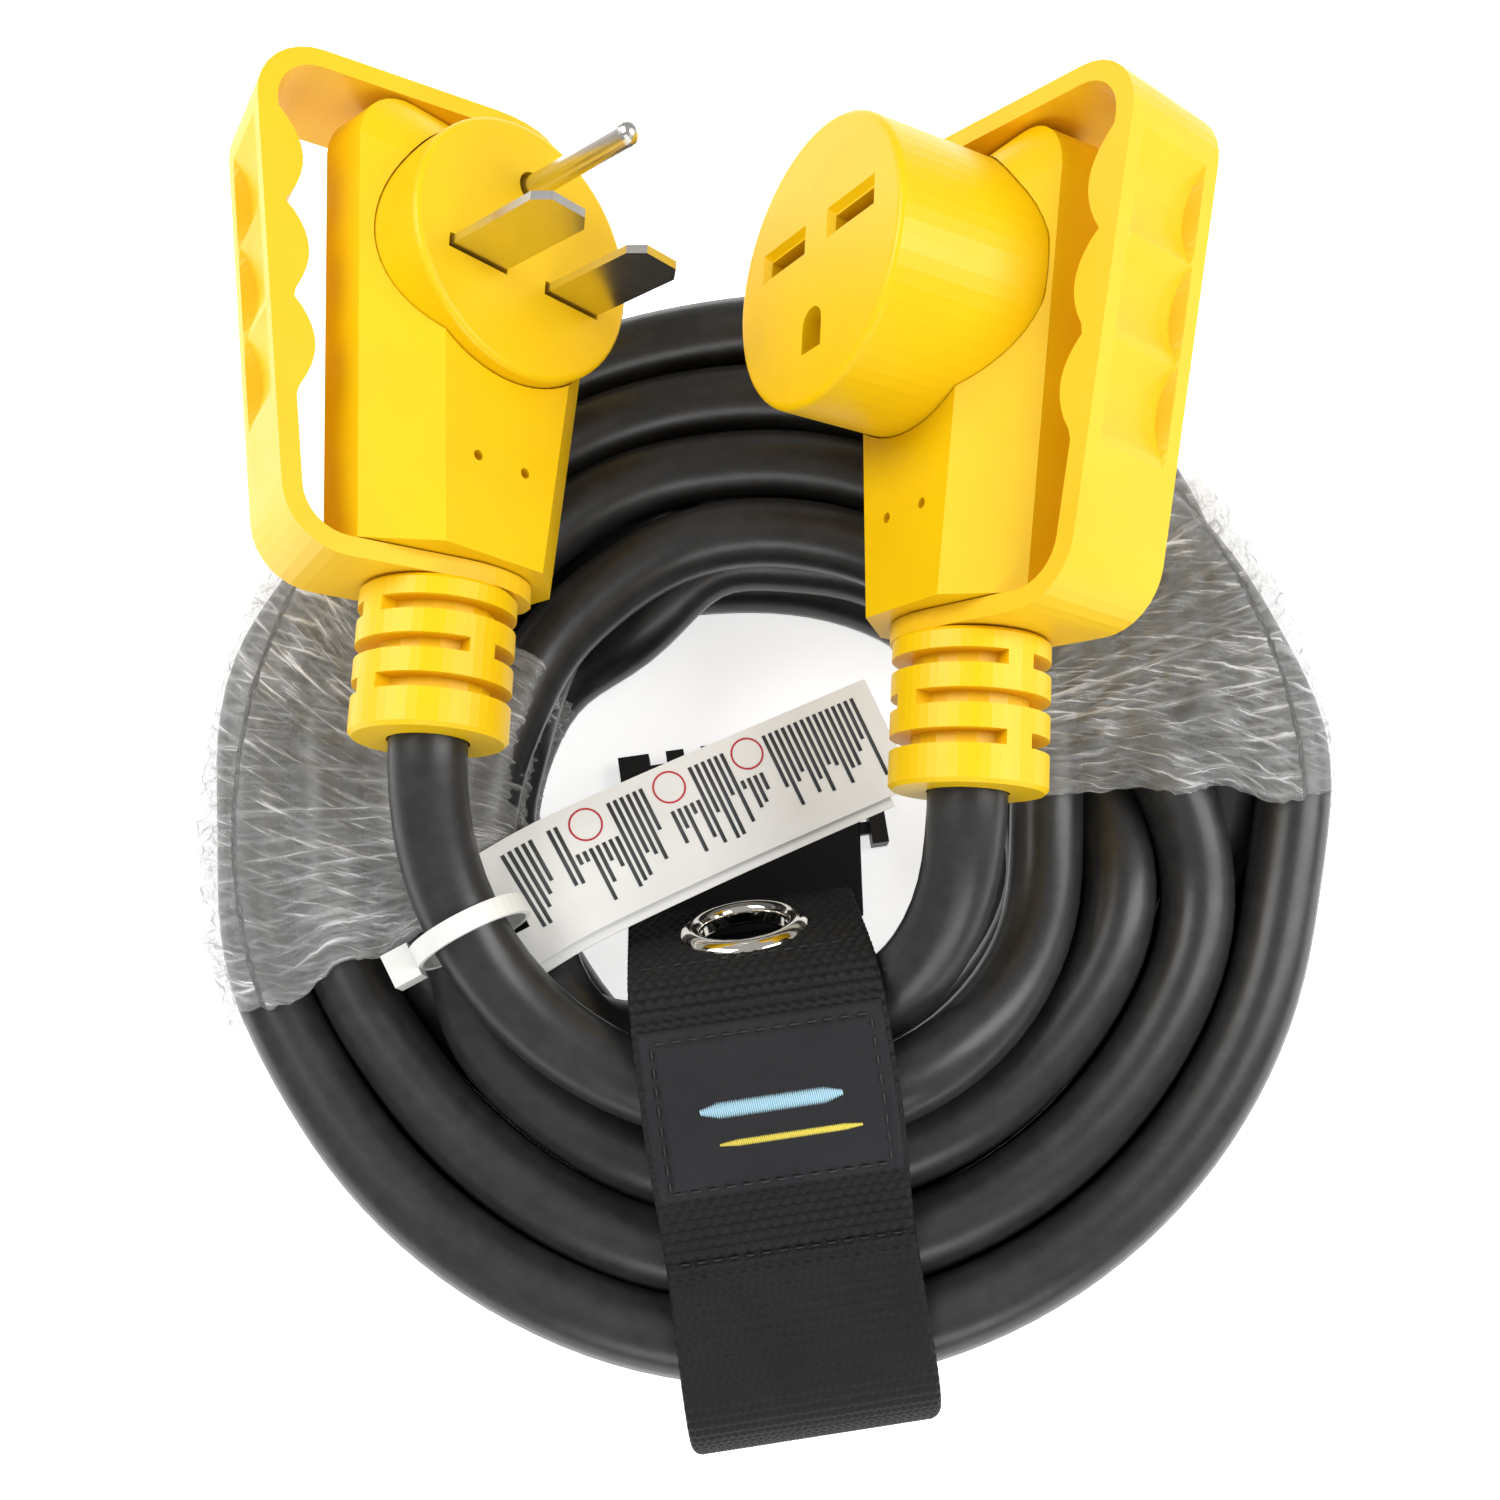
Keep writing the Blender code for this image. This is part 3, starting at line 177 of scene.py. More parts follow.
def recalc_outward(obj):
    shape = bmesh.new()
    shape.from_mesh(obj.data)
    bmesh.ops.recalc_face_normals(shape, faces=shape.faces)
    shape.to_mesh(obj.data)
    shape.free()


# ---------------------------------------------------------------- materials


class Nodes:
    """Short calls for building a node material."""

    def __init__(self, name, colour, roughness, metallic=0.0):
        self.material = bpy.data.materials.new(name)
        self.material.use_nodes = True
        self.tree = self.material.node_tree
        self.shader = self.tree.nodes["Principled BSDF"]
        self.shader.inputs["Base Color"].default_value = (*colour, 1)
        self.shader.inputs["Roughness"].default_value = roughness
        self.shader.inputs["Metallic"].default_value = metallic

    def add(self, kind, **values):
        made = self.tree.nodes.new(kind)
        for key, value in values.items():
            setattr(made, key, value)
        return made

    def link(self, a, b):
        self.tree.links.new(a, b)

    def coordinates(self, kind="Object"):
        return self.add("ShaderNodeTexCoord").outputs[kind]

    def noise(self, vector, scale, detail=3.0, roughness=0.5):
        made = self.add("ShaderNodeTexNoise")
        made.inputs["Scale"].default_value = scale
        made.inputs["Detail"].default_value = detail
        made.inputs["Roughness"].default_value = roughness
        self.link(vector, made.inputs["Vector"])
        return made.outputs["Fac"]

    def stretch(self, vector, scale):
        made = self.add("ShaderNodeMapping")
        made.inputs["Scale"].default_value = scale
        self.link(vector, made.inputs["Vector"])
        return made.outputs["Vector"]

    def ramp(self, value, stops):
        made = self.add("ShaderNodeValToRGB")
        ramp = made.color_ramp
        while len(ramp.elements) < len(stops):
            ramp.elements.new(0.5)
        for element, (place, colour) in zip(ramp.elements, stops):
            element.position = place
            element.color = (*colour, 1) if len(colour) == 3 else colour
        self.link(value, made.inputs["Fac"])
        return made.outputs["Color"]

    def math(self, operation, a, b=None):
        made = self.add("ShaderNodeMath", operation=operation)
        for socket, value in zip(made.inputs, (a, b)):
            if value is None:
                continue
            if isinstance(value, (int, float)):
                socket.default_value = value
            else:
                self.link(value, socket)
        return made.outputs[0]

    def bump(self, height, strength, distance):
        made = self.add("ShaderNodeBump")
        made.inputs["Strength"].default_value = strength
        made.inputs["Distance"].default_value = distance
        self.link(height, made.inputs["Height"])
        self.link(made.outputs["Normal"], self.shader.inputs["Normal"])
        return made

    def spread(self, value, low, high, socket):
        made = self.add("ShaderNodeMapRange")
        made.inputs["To Min"].default_value = low
        made.inputs["To Max"].default_value = high
        self.link(value, made.inputs["Value"])
        self.link(made.outputs["Result"], self.shader.inputs[socket])


def moulded_plastic(name, colour, deep, roughness):
    """Moulded plastic: slight mottling, a fine spark-eroded texture and uneven gloss."""
    n = Nodes(name, colour, roughness)
    where = n.coordinates()
    mottle = n.noise(where, 38, 3)
    n.link(n.ramp(mottle, ((0.30, deep), (0.62, colour))), n.shader.inputs["Base Color"])
    n.spread(n.noise(where, 160, 2), roughness - 0.05, roughness + 0.08, "Roughness")
    n.bump(n.noise(where, 1500, 3, 0.6), 0.10, 0.0002)
    n.shader.inputs["Specular IOR Level"].default_value = 0.32
    return n.material


def bright_metal(name, colour, roughness):
    """Plated metal with fine drawn lines and faint handling marks."""
    n = Nodes(name, colour, roughness, 1.0)
    where = n.coordinates()
    lines = n.noise(n.stretch(where, (60, 60, 2200)), 1.0, 4)
    marks = n.noise(where, 260, 4)
    worn = tuple(c * 0.95 for c in colour)
    n.link(n.ramp(marks, ((0.35, worn), (0.6, colour))), n.shader.inputs["Base Color"])
    n.spread(marks, roughness * 0.92, roughness * 1.12, "Roughness")
    n.bump(lines, 0.03, 0.0001)
    return n.material


def jacket_material():
    """Extruded cable jacket: near-black and semi-gloss, faintly scuffed and uneven."""
    n = Nodes("cable_jacket", (0.024, 0.024, 0.025), 0.34)
    where = n.coordinates()
    scuff = n.noise(where, 220, 4, 0.6)
    dark, scuffed = (0.019, 0.019, 0.0195), (0.030, 0.030, 0.031)
    n.link(n.ramp(scuff, ((0.35, dark), (0.75, scuffed))), n.shader.inputs["Base Color"])
    n.spread(n.noise(where, 90, 3), 0.27, 0.42, "Roughness")
    wave = n.noise(where, 60, 2)
    fine = n.noise(where, 900, 2)
    n.bump(n.math("ADD", wave, n.math("MULTIPLY", fine, 0.12)), 0.28, 0.0006)
    n.shader.inputs["Specular IOR Level"].default_value = 0.45
    return n.material


def woven_material(name, colour, light, yarn):
    """Woven nylon: fibre streaks across each yarn and a soft sheen."""
    n = Nodes(name, colour, 0.62)
    where = n.coordinates("UV")
    fibres = n.noise(n.stretch(where, (yarn, yarn * 9, 1)), 1.0, 2)
    patches = n.noise(where, 70, 3)
    both = n.math("ADD", n.math("MULTIPLY", fibres, 0.7), n.math("MULTIPLY", patches, 0.3))
    n.link(n.ramp(both, ((0.32, colour), (0.72, light))), n.shader.inputs["Base Color"])
    n.spread(fibres, 0.50, 0.75, "Roughness")
    n.bump(fibres, 0.35, 0.0004)
    n.shader.inputs["Specular IOR Level"].default_value = 0.28
    return n.material


def paper_material(name, colour):
    n = Nodes(name, colour, 0.42)
    where = n.coordinates()
    fibre = n.noise(where, 700, 4, 0.6)
    shade = tuple(c * 0.93 for c in colour)
    n.link(n.ramp(n.noise(where, 45, 3), ((0.35, shade), (0.65, colour))), n.shader.inputs["Base Color"])
    n.bump(fibre, 0.10, 0.0002)
    n.spread(fibre, 0.36, 0.5, "Roughness")
    return n.material


def film_material():
    """Clear stretch film: hazy, with fine white streaks pulled round the turns, whitened partly by the film's
    own haze and partly by painted highlight, and sharp glints.
    """
    n = Nodes("film_clear", (0.90, 0.91, 0.92), 0.16)
    where = n.coordinates("UV")
    slanted = n.add("ShaderNodeMapping")
    slanted.inputs["Rotation"].default_value = (0, 0, 0.42)
    n.link(where, slanted.inputs["Vector"])
    pulled = n.noise(n.stretch(where, (34, 620, 1)), 1.0, 5, 0.65)
    crossed = n.noise(n.stretch(slanted.outputs["Vector"], (70, 900, 1)), 1.0, 4, 0.6)
    haze = n.noise(where, 60, 3)
    streaks = n.math("MAXIMUM", pulled, crossed)
    both = n.math("ADD", n.math("MULTIPLY", streaks, 0.75), n.math("MULTIPLY", haze, 0.25))
    # Painted highlight: along the streaks the alpha rises towards opaque white and the base colour turns
    # pale, partly the film's own haze and partly painted highlight.
    clear, hazy, white = (0.15,) * 3, (0.24,) * 3, (0.68,) * 3
    n.link(n.ramp(both, ((0.46, clear), (0.58, hazy), (0.68, white))), n.shader.inputs["Alpha"])
    grey, pale = (0.52, 0.53, 0.52), (0.94, 0.95, 0.96)
    n.link(n.ramp(both, ((0.50, grey), (0.66, pale))), n.shader.inputs["Base Color"])
    n.bump(streaks, 0.8, 0.0015)
    n.shader.inputs["Specular IOR Level"].default_value = 0.7
    return n.material


YELLOW = (0.88, 0.560, 0.001)
YELLOW_DEEP = (0.85, 0.525, 0.001)
PALE = (0.88, 0.565, 0.016)
PALE_DEEP = (0.85, 0.530, 0.010)


def paint(obj, material):
    obj.data.materials.clear()
    obj.data.materials.append(material)
    return obj


def material_set():
    made = {
        "yellow_body": moulded_plastic("moulded_yellow", YELLOW, YELLOW_DEEP, 0.36),
        "yellow_handle": moulded_plastic("moulded_pale_yellow", PALE, PALE_DEEP, 0.40),
        "bright_metal": bright_metal("nickel_plate", (0.72, 0.70, 0.66), 0.24),
        "polished_metal": bright_metal("polished_nickel", (0.80, 0.77, 0.70), 0.09),
        "contact_brass": bright_metal("contact_brass", (0.70, 0.50, 0.24), 0.28),
        "cable_jacket": jacket_material(),
        "strap_webbing": woven_material("webbing_nylon", (0.002, 0.002, 0.0022), (0.011, 0.011, 0.012), 420),
        "strap_label": woven_material("label_satin", (0.006, 0.006, 0.008), (0.020, 0.020, 0.024), 1500),
        "buckle_plastic": moulded_plastic("buckle_black", (0.012, 0.012, 0.013), (0.008, 0.008, 0.009), 0.42),
        "tag_paper": paper_material("tag_paper", (0.83, 0.83, 0.81)),
        "tie_nylon": moulded_plastic("tie_nylon", (0.80, 0.80, 0.77), (0.70, 0.70, 0.67), 0.36),
        "clear_film": film_material(),
        "carrier_grey": moulded_plastic("carrier_grey", (0.10, 0.06, 0.03), (0.08, 0.05, 0.025), 0.5),
        "insulation_black": moulded_plastic("core_black", (0.02, 0.02, 0.02), (0.015, 0.015, 0.015), 0.4),
        "insulation_red": moulded_plastic("core_red", (0.40, 0.03, 0.02), (0.35, 0.025, 0.015), 0.4),
        "insulation_green": moulded_plastic("core_green", (0.02, 0.22, 0.05), (0.015, 0.18, 0.04), 0.4),
    }
    return made


MATERIALS = material_set()


# ---------------------------------------------------------------- the cable


def lead_line(matrix, route):
    """From inside the strain relief, straight out of it and along the route, in the row frame."""
    inside = [matrix @ Vector((0, 0, height)) for height in (COLLAR_BOTTOM + 0.006, COLLAR_BOTTOM - 0.001)]
    placed = [Vector(point) + Vector((0, CENTRE_Y, 0)) for point in route]
    return inside + placed


def slot_place(slot):
    column, row = slot
    stagger = MIDDLE_ROW_STAGGER if row == 1 else 0.0
    innermost = COIL_INNER + CABLE_RADIUS + INNER_CLEARANCE
    return innermost + column * COLUMN_PITCH + stagger, CABLE_RADIUS + row * ROW_PITCH


def coil_line(steps_per_twist=18):
    """The turns' centreline, from where the plug's lead joins it to where the connector's lead leaves it."""
    spacing = NOTCH_SWEEP / len(TWISTS)
    slot = (0, 2)
    points = []
    turn = 0
    while True:
        base = NOTCH_START + 2 * math.pi * turn
        for number, (column, row, way) in enumerate(TWISTS):
            block = [(column, row), (column + 1, row), (column + 1, row + 1), (column, row + 1)]
            start = base + number * spacing
            middle = sum((Vector(slot_place(s)) for s in block), Vector((0, 0))) / 4
            for step in range(steps_per_twist):
                angle = start + spacing * step / steps_per_twist
                r, z = slot_place(slot)
                if slot in block:
                    share = smooth_step((angle - start - (spacing - TWIST_SPAN) / 2) / TWIST_SPAN)
                    arm = Vector((r, z)) - middle
                    swing = Matrix.Rotation(way * share * math.pi / 2, 2)
                    r, z = middle + swing @ arm
                points.append((r * math.cos(angle), r * math.sin(angle) + CENTRE_Y, z))
            if slot in block:
                slot = block[(block.index(slot) + way) % 4]
        if slot == (0, 1):
            return points
        low = slot_place(slot)
        after = (0, 1) if slot == (0, 2) else slot
        high = slot_place(after)
        gap = 2 * math.pi - NOTCH_SWEEP
        for step in range(30):
            share = step / 30
            angle = base + NOTCH_SWEEP + gap * share
            ease = smooth_step(share)
            r = low[0] + (high[0] - low[0]) * ease
            z = low[1] + (high[1] - low[1]) * ease
            points.append((r * math.cos(angle), r * math.sin(angle) + CENTRE_Y, z))
        slot = after
        turn += 1
        assert turn < COIL_ROWS * COIL_COLUMNS, "the turns never reach the connector's slot"


def relax(line, fixed_head, fixed_tail, rounds=90):
    """Pushes turns apart where they would cut into each other, keeping them smooth and under the ceiling."""
    count = len(line)
    spacing = np.linalg.norm(np.diff(line, axis=0), axis=1).mean()
    free = np.ones(count, bool)
    free[:fixed_head] = False
    free[count - fixed_tail :] = False
    near = int(2.6 * CABLE_RADIUS / spacing) + 2
    index = np.arange(count)
    apart = np.abs(index[:, None] - index[None, :]) > near
    want = 2 * CABLE_RADIUS + 0.00015
    ceiling = np.maximum(line[:, 2], COIL_CEILING)
    for _ in range(rounds):
        gap = line[:, None, :] - line[None, :, :]
        distance = np.sqrt((gap**2).sum(axis=2)) + 1e-12
        close = apart & (distance < want)
        push = np.where(close, (want - distance) / distance * 0.35, 0.0)
        move = (gap * push[:, :, None]).sum(axis=1)
        touching = np.maximum(close.sum(axis=1), 1)
        line = line + np.where(free[:, None], move / np.sqrt(touching)[:, None], 0)
        bend = np.zeros_like(line)
        bend[2:-2] = (line[1:-3] * 4 + line[3:-1] * 4 - line[:-4] - line[4:]) / 6 - line[2:-2]
        line = line + np.where(free[:, None], bend * 0.45, 0)
        line[:, 2] = np.clip(line[:, 2], CABLE_RADIUS, ceiling)
    return line


def cable():
    plug_lead = lead_line(PLUG, PLUG_LEAD_ROUTE)
    connector_lead = lead_line(CONNECTOR, CONNECTOR_LEAD_ROUTE)[::-1]
    turns = [Vector(point) for point in coil_line()]
    keep = turns[3:-3]
    whole = catmull_rom(plug_lead, 6)[:-1] + catmull_rom([plug_lead[-1], *keep, connector_lead[0]], 1)
    whole += catmull_rom(connector_lead, 6)[1:]
    line = resample(whole, 0.0052)
    line = relax(line, 6, 6)
    data = bpy.data.curves.new("cable_jacket", "CURVE")
    data.dimensions = "3D"
    data.bevel_depth = CABLE_RADIUS
    data.bevel_resolution = 6
    data.use_fill_caps = True
    spline = data.splines.new("POLY")
    spline.points.add(len(line) - 1)
    for point, where in zip(spline.points, line):
        point.co = (*where, 1)
    spline.use_smooth = True
    piece = paint(new_object("cable_jacket", data), MATERIALS["cable_jacket"])
    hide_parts("cable_coil", "cable_lead_plug", "cable_lead_connector")
    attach(piece, "cord")
    return line


CABLE_LINE = cable()


# ---------------------------------------------------------------- CAD nodes that stay


def dress_cad():
    slots = {row["node"]: row["material_slot"] for row in frame["record"]["subparts"]}
    for name, obj in NODES.items():
        paint(obj, MATERIALS[slots[name]])


dress_cad()


# ---------------------------------------------------------------- the strap

# The webbing's path over and under the bundle and round the buckle's bar: distance out from the coil's
# centre, sideways drift and height.
STRAP_ROUTE = (
    (0.0205, 0.0000, 0.0270),
    (0.0285, 0.0000, 0.0420),
    (0.0360, 0.0000, 0.0560),
    (0.0410, 0.0000, 0.0630),
    (0.0480, 0.0000, 0.0665),
    (0.0570, 0.0000, 0.0670),
    (0.0670, 0.0000, 0.0668),
    (0.0760, 0.0000, 0.0630),
    (0.0840, 0.0000, 0.0555),
    (0.0920, 0.0000, 0.0508),
    (0.1020, 0.0000, 0.0500),
    (0.1130, 0.0000, 0.0500),
    (0.1215, 0.0000, 0.0488),
    (0.1275, 0.0000, 0.0435),
    (0.1315, 0.0000, 0.0300),
    (0.1340, 0.0000, 0.0140),
    (0.1335, 0.0000, 0.0045),
    (0.1290, 0.0000, 0.0012),
    (0.1200, 0.0000, 0.0009),
    (0.0840, 0.0000, 0.0009),
    (0.0480, 0.0000, 0.0009),
    (0.0330, 0.0020, 0.0009),
    (0.0190, 0.0040, 0.0009),
    (0.0060, 0.0060, 0.0010),
    (0.0008, 0.0068, 0.0016),
    (-0.0020, 0.0070, 0.0040),
    (0.0008, 0.0068, 0.0064),
    (0.0060, 0.0060, 0.0066),
    (0.0150, 0.0050, 0.0050),
    (0.0240, 0.0040, 0.0040),
)
# The weave, with rows along the webbing and yarns across it. It is finer past FINE_FROM.
WEAVE_STEP = 0.0004
ROW_LENGTH = 0.0025
YARN_WIDTH = 0.0026
YARN_LEAN = 0.0007
WEAVE_HEIGHT = 0.00095
FINE_FROM = 0.104
EDGE_ROUND = 0.0012
EDGE_DROP = 0.0006
CUT_END = 0.0016
GROUND_RUN_HEIGHT = 0.006
STITCH_LENGTH = 0.0024
STITCH_PITCH = 0.0034
STITCH_INSET = 0.0022
STITCH_GROOVE = 0.00035
STITCH_GROOVE_WIDTH = 0.0009


def strap_matrix():
    outward = Vector((math.cos(STRAP_DIRECTION), math.sin(STRAP_DIRECTION), 0))
    across = Vector((-math.sin(STRAP_DIRECTION), math.cos(STRAP_DIRECTION), 0))
    matrix = Matrix((outward, across, (0, 0, 1))).transposed().to_4x4()
    matrix.translation = across * STRAP_SIDE_SHIFT + Vector((0, CENTRE_Y, 0))
    return matrix


STRAP = np.array(strap_matrix())
STRAP_LINE = resample(catmull_rom(STRAP_ROUTE, 8), WEAVE_STEP)
STRAP_ALONG = np.concatenate([[0], np.cumsum(np.linalg.norm(np.diff(STRAP_LINE, axis=0), axis=1))])


def strap_normals():
    along = np.gradient(STRAP_LINE, axis=0)
    along /= np.linalg.norm(along, axis=1)[:, None]
    return np.stack([-along[:, 2], np.zeros(len(along)), along[:, 0]], axis=1)


STRAP_NORMALS = strap_normals()


def on_strap(along, across, lift):
    """Points on the webbing, from distances along it and across it and a lift off its middle line."""
    along, across, lift = np.broadcast_arrays(along, across, lift)
    points = np.empty(along.shape + (3,))
    for axis in range(3):
        centre = np.interp(along, STRAP_ALONG, STRAP_LINE[:, axis])
        normal = np.interp(along, STRAP_ALONG, STRAP_NORMALS[:, axis])
        points[..., axis] = centre + normal * lift
    points[..., 1] += across
    return points @ STRAP[:3, :3].T + STRAP[:3, 3]


def out_to_along(out, height=0.06):
    """The distance along the webbing at a place given by its distance out from the coil's centre."""
    gap = (STRAP_LINE[:, 0] - out) ** 2 + (STRAP_LINE[:, 2] - height) ** 2 * 0.05
    return float(STRAP_ALONG[int(np.argmin(gap))])


def grid_faces(rows, columns):
    corners = [i * columns + j for i in range(rows - 1) for j in range(columns - 1)]
    return [(k, k + columns, k + columns + 1, k + 1) for k in corners]


def add_uv(obj, coordinates):
    layer = obj.data.uv_layers.new(name="UVMap")
    loops = np.empty(len(obj.data.loops), np.int32)
    obj.data.loops.foreach_get("vertex_index", loops)
    layer.data.foreach_set("uv", np.asarray(coordinates, np.float32)[loops].ravel())


def spread_grid(start, end, half_width, rows, columns):
    """Distances along and across the webbing for a grid of points."""
    along = np.linspace(start, end, rows)[:, None] + np.zeros((1, columns))
    across = np.linspace(-half_width, half_width, columns)[None, :] + np.zeros((rows, 1))
    return along, across


def layer_on_strap(name, along, across, top, bottom):
    """A closed layer lying along the webbing, from grids of the heights of its two faces."""
    rows, columns = along.shape
    over = on_strap(along, across, top).reshape(-1, 3)
    under = on_strap(along, across, bottom).reshape(-1, 3)
    faces = grid_faces(rows, columns)
    count = rows * columns
    faces += [tuple(count + k for k in reversed(face)) for face in faces]
    rim = list(range(columns))
    rim += [i * columns + columns - 1 for i in range(1, rows)]
    rim += [(rows - 1) * columns + j for j in range(columns - 2, -1, -1)]
    rim += [i * columns for i in range(rows - 2, 0, -1)]
    faces += [(a, b, count + b, count + a) for a, b in zip(rim, rim[1:] + rim[:1])]
    piece = mesh_object(name, np.concatenate([over, under]), faces)
    flat = np.stack([across.ravel(), along.ravel()], axis=1)
    add_uv(piece, np.concatenate([flat, flat]))
    recalc_outward(piece)
    return piece


def weave(along, across):
    """Height of the woven surface: each yarn is a small pillow, and every other row is half a yarn along."""
    fine = along > FINE_FROM
    row_length = np.where(fine, ROW_LENGTH * 0.8, ROW_LENGTH)
    width = np.where(fine, YARN_WIDTH * 0.62, YARN_WIDTH)
    row = np.floor(along / row_length)
    in_row = along / row_length - row
    lean = across + (in_row - 0.5) * YARN_LEAN * np.where(row % 2 == 0, 1, -1)
    in_yarn = lean / width + 0.5 * (row % 2)
    in_yarn = in_yarn - np.floor(in_yarn)
    pillow = np.sin(np.pi * in_row) ** 0.8 * (0.30 + 0.70 * np.sin(np.pi * in_yarn) ** 0.9)
    return WEAVE_HEIGHT * pillow * np.where(fine, 0.75, 1.0)


def strap_webbing():
    """The whole webbing, woven in relief where it shows, with a hole for the grommet."""
    length = STRAP_ALONG[-1]
    on_ground = STRAP_LINE[:, 2] < GROUND_RUN_HEIGHT
    showing_end = float(STRAP_ALONG[int(np.argmax(STRAP_LINE[:, 0] * on_ground))])
    half_width, half = STRAP_WIDTH / 2, STRAP_THICKNESS / 2
    rows, columns = int(length / WEAVE_STEP), int(STRAP_WIDTH / WEAVE_STEP)
    along, across = spread_grid(0, length, half_width, rows, columns)
    edge = np.clip((half_width - np.abs(across)) / EDGE_ROUND, 0, 1)
    cut_end = np.clip((CUT_END - along) / CUT_END, 0, 1)
    relief = weave(along, across) * np.where(along < showing_end, 1.0, 0.0)
    top = half - 0.0001 + relief * (1 - cut_end) - EDGE_DROP * (1 - edge) ** 2
    bottom = np.full_like(top, -half)
    for middle in STITCH_ROWS:
        top -= STITCH_GROOVE * np.exp(-(((along - middle) / STITCH_GROOVE_WIDTH) ** 2))
    piece = layer_on_strap("strap_weave", along, across, top, bottom)
    hole = grommet_cutter()
    cut = piece.modifiers.new("grommet_hole", "BOOLEAN")
    cut.operation = "DIFFERENCE"
    cut.object = hole
    cut.solver = "EXACT"
    apply_modifiers(piece)
    bpy.data.objects.remove(hole, do_unlink=True)
    paint(piece, MATERIALS["strap_webbing"])
    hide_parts("strap_webbing")
    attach(piece, "cord")


def apply_modifiers(obj):
    graph = bpy.context.evaluated_depsgraph_get()
    mesh = bpy.data.meshes.new_from_object(obj.evaluated_get(graph))
    obj.modifiers.clear()
    old = obj.data
    obj.data = mesh
    bpy.data.meshes.remove(old)


GROMMET_ALONG = 0.0169
GROMMET_HOLE_RADIUS = 0.0104
# The eyelet's rolled front and flat back, as radius and height off the webbing's middle.
EYELET_FRONT = (
    (0.0094, -0.0016),
    (0.0094, 0.0004),
    (0.0096, 0.0018),
    (0.0103, 0.0028),
    (0.0114, 0.0032),
    (0.0126, 0.0029),
    (0.0136, 0.0022),
    (0.0141, 0.0014),
    (0.0140, 0.0010),
    (0.0104, 0.0009),
    (0.0101, -0.0016),
)
EYELET_BACK = ((0.0100, -0.0010), (0.0135, -0.0010), (0.0137, -0.0013), (0.0133, -0.0017), (0.0100, -0.0018))


def grommet_matrix():
    """A frame on the webbing at the grommet, with Z straight out of it."""
    middle = on_strap(GROMMET_ALONG, 0.0, 0.0)
    axis = Vector(on_strap(GROMMET_ALONG, 0.0, 0.01) - middle).normalized()
    return Matrix.Translation(Vector(middle)) @ axis.to_track_quat("Z", "Y").to_matrix().to_4x4()


def grommet_cutter():
    radius = GROMMET_HOLE_RADIUS
    shape = bmesh.new()
    bmesh.ops.create_cone(shape, cap_ends=True, segments=48, radius1=radius, radius2=radius, depth=0.01)
    mesh = bpy.data.meshes.new("grommet_cutter")
    shape.to_mesh(mesh)
    shape.free()
    cutter = new_object("grommet_cutter", mesh)
    cutter.matrix_world = grommet_matrix()
    return cutter


def lathe(name, profile, matrix, steps=96):
    """A ring turned from a closed profile of radius and height."""
    count = len(profile)
    vertices = []
    for k in range(steps):
        angle = 2 * math.pi * k / steps
        vertices += [matrix @ Vector((r * math.cos(angle), r * math.sin(angle), z)) for r, z in profile]
    faces = []
    for k in range(steps):
        after = (k + 1) % steps
        for j in range(count):
            m = (j + 1) % count
            faces.append((k * count + j, after * count + j, after * count + m, k * count + m))
    piece = mesh_object(name, vertices, faces)
    recalc_outward(piece)
    return piece


def eyelet():
    """The rolled eyelet and the flat ring behind the webbing."""
    matrix = grommet_matrix()
    rounded = [tuple(point) for point in catmull_rom([(*point, 0) for point in EYELET_FRONT[:9]], 3)]
    front = [(r, z) for r, z, _ in rounded] + list(EYELET_FRONT[9:])
    for name, profile, replaced in (
        ("grommet_eyelet", front, "grommet_flange"),
        ("grommet_back_ring", EYELET_BACK, "grommet_washer"),
    ):
        ring = paint(lathe(name, profile, matrix), MATERIALS["polished_metal"])
        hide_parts(replaced)
        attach(ring, "cord")


def thread_dash(shape, start, end, up, radius):
    """One stitch: a short bowed capsule from start to end."""
    start, end, up = Vector(start), Vector(end), Vector(up)
    along = (end - start).normalized()
    side = along.cross(up).normalized()
    rings = []
    steps = 5
    for k in range(steps + 1):
        t = k / steps
        swell = math.sqrt(max(1 - (2 * t - 1) ** 2, 0.04))
        centre = start.lerp(end, t) + up * radius * (swell * 0.9 - 0.4)
        ring = []
        for m in range(6):
            angle = 2 * math.pi * m / 6
            outward = side * math.cos(angle) + up * math.sin(angle)
            ring.append(shape.verts.new(centre + outward * radius * swell))
        rings.append(ring)
    for low, high in zip(rings, rings[1:]):
        for m in range(6):
            n = (m + 1) % 6
            shape.faces.new((low[m], low[n], high[n], high[m]))
    shape.faces.new(rings[0][::-1])
    shape.faces.new(rings[-1])


LABEL_IN = out_to_along(0.0480, 0.0665)
LABEL_OUT = out_to_along(0.0800, 0.0600)
CROSS_STITCH = out_to_along(0.0935, 0.0508)
STITCH_ROWS = (GROMMET_ALONG + 0.0150, CROSS_STITCH)


def stitch_run(shape, start, end, lift, radius=0.00026):
    """Stitches along a straight run, given as (along, across) at both ends."""
    run = math.hypot(end[0] - start[0], end[1] - start[1])
    count = max(1, round(run / STITCH_PITCH))
    for k in range(count):
        ends = []
        for t in ((k + 0.5) / count - STITCH_LENGTH / run / 2, (k + 0.5) / count + STITCH_LENGTH / run / 2):
            ends.append((start[0] + (end[0] - start[0]) * t, start[1] + (end[1] - start[1]) * t))
        a = on_strap(ends[0][0], ends[0][1], lift)
        b = on_strap(ends[1][0], ends[1][1], lift)
        up = on_strap(ends[0][0], ends[0][1], lift + 0.001) - a
        thread_dash(shape, a, b, Vector(up).normalized(), radius)


def finish_bmesh(name, shape, material, body="cord"):
    mesh = bpy.data.meshes.new(name)
    bmesh.ops.recalc_face_normals(shape, faces=shape.faces)
    shape.to_mesh(mesh)
    shape.free()
    mesh.shade_smooth()
    piece = paint(new_object(name, mesh), material)
    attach(piece, body)
    return piece


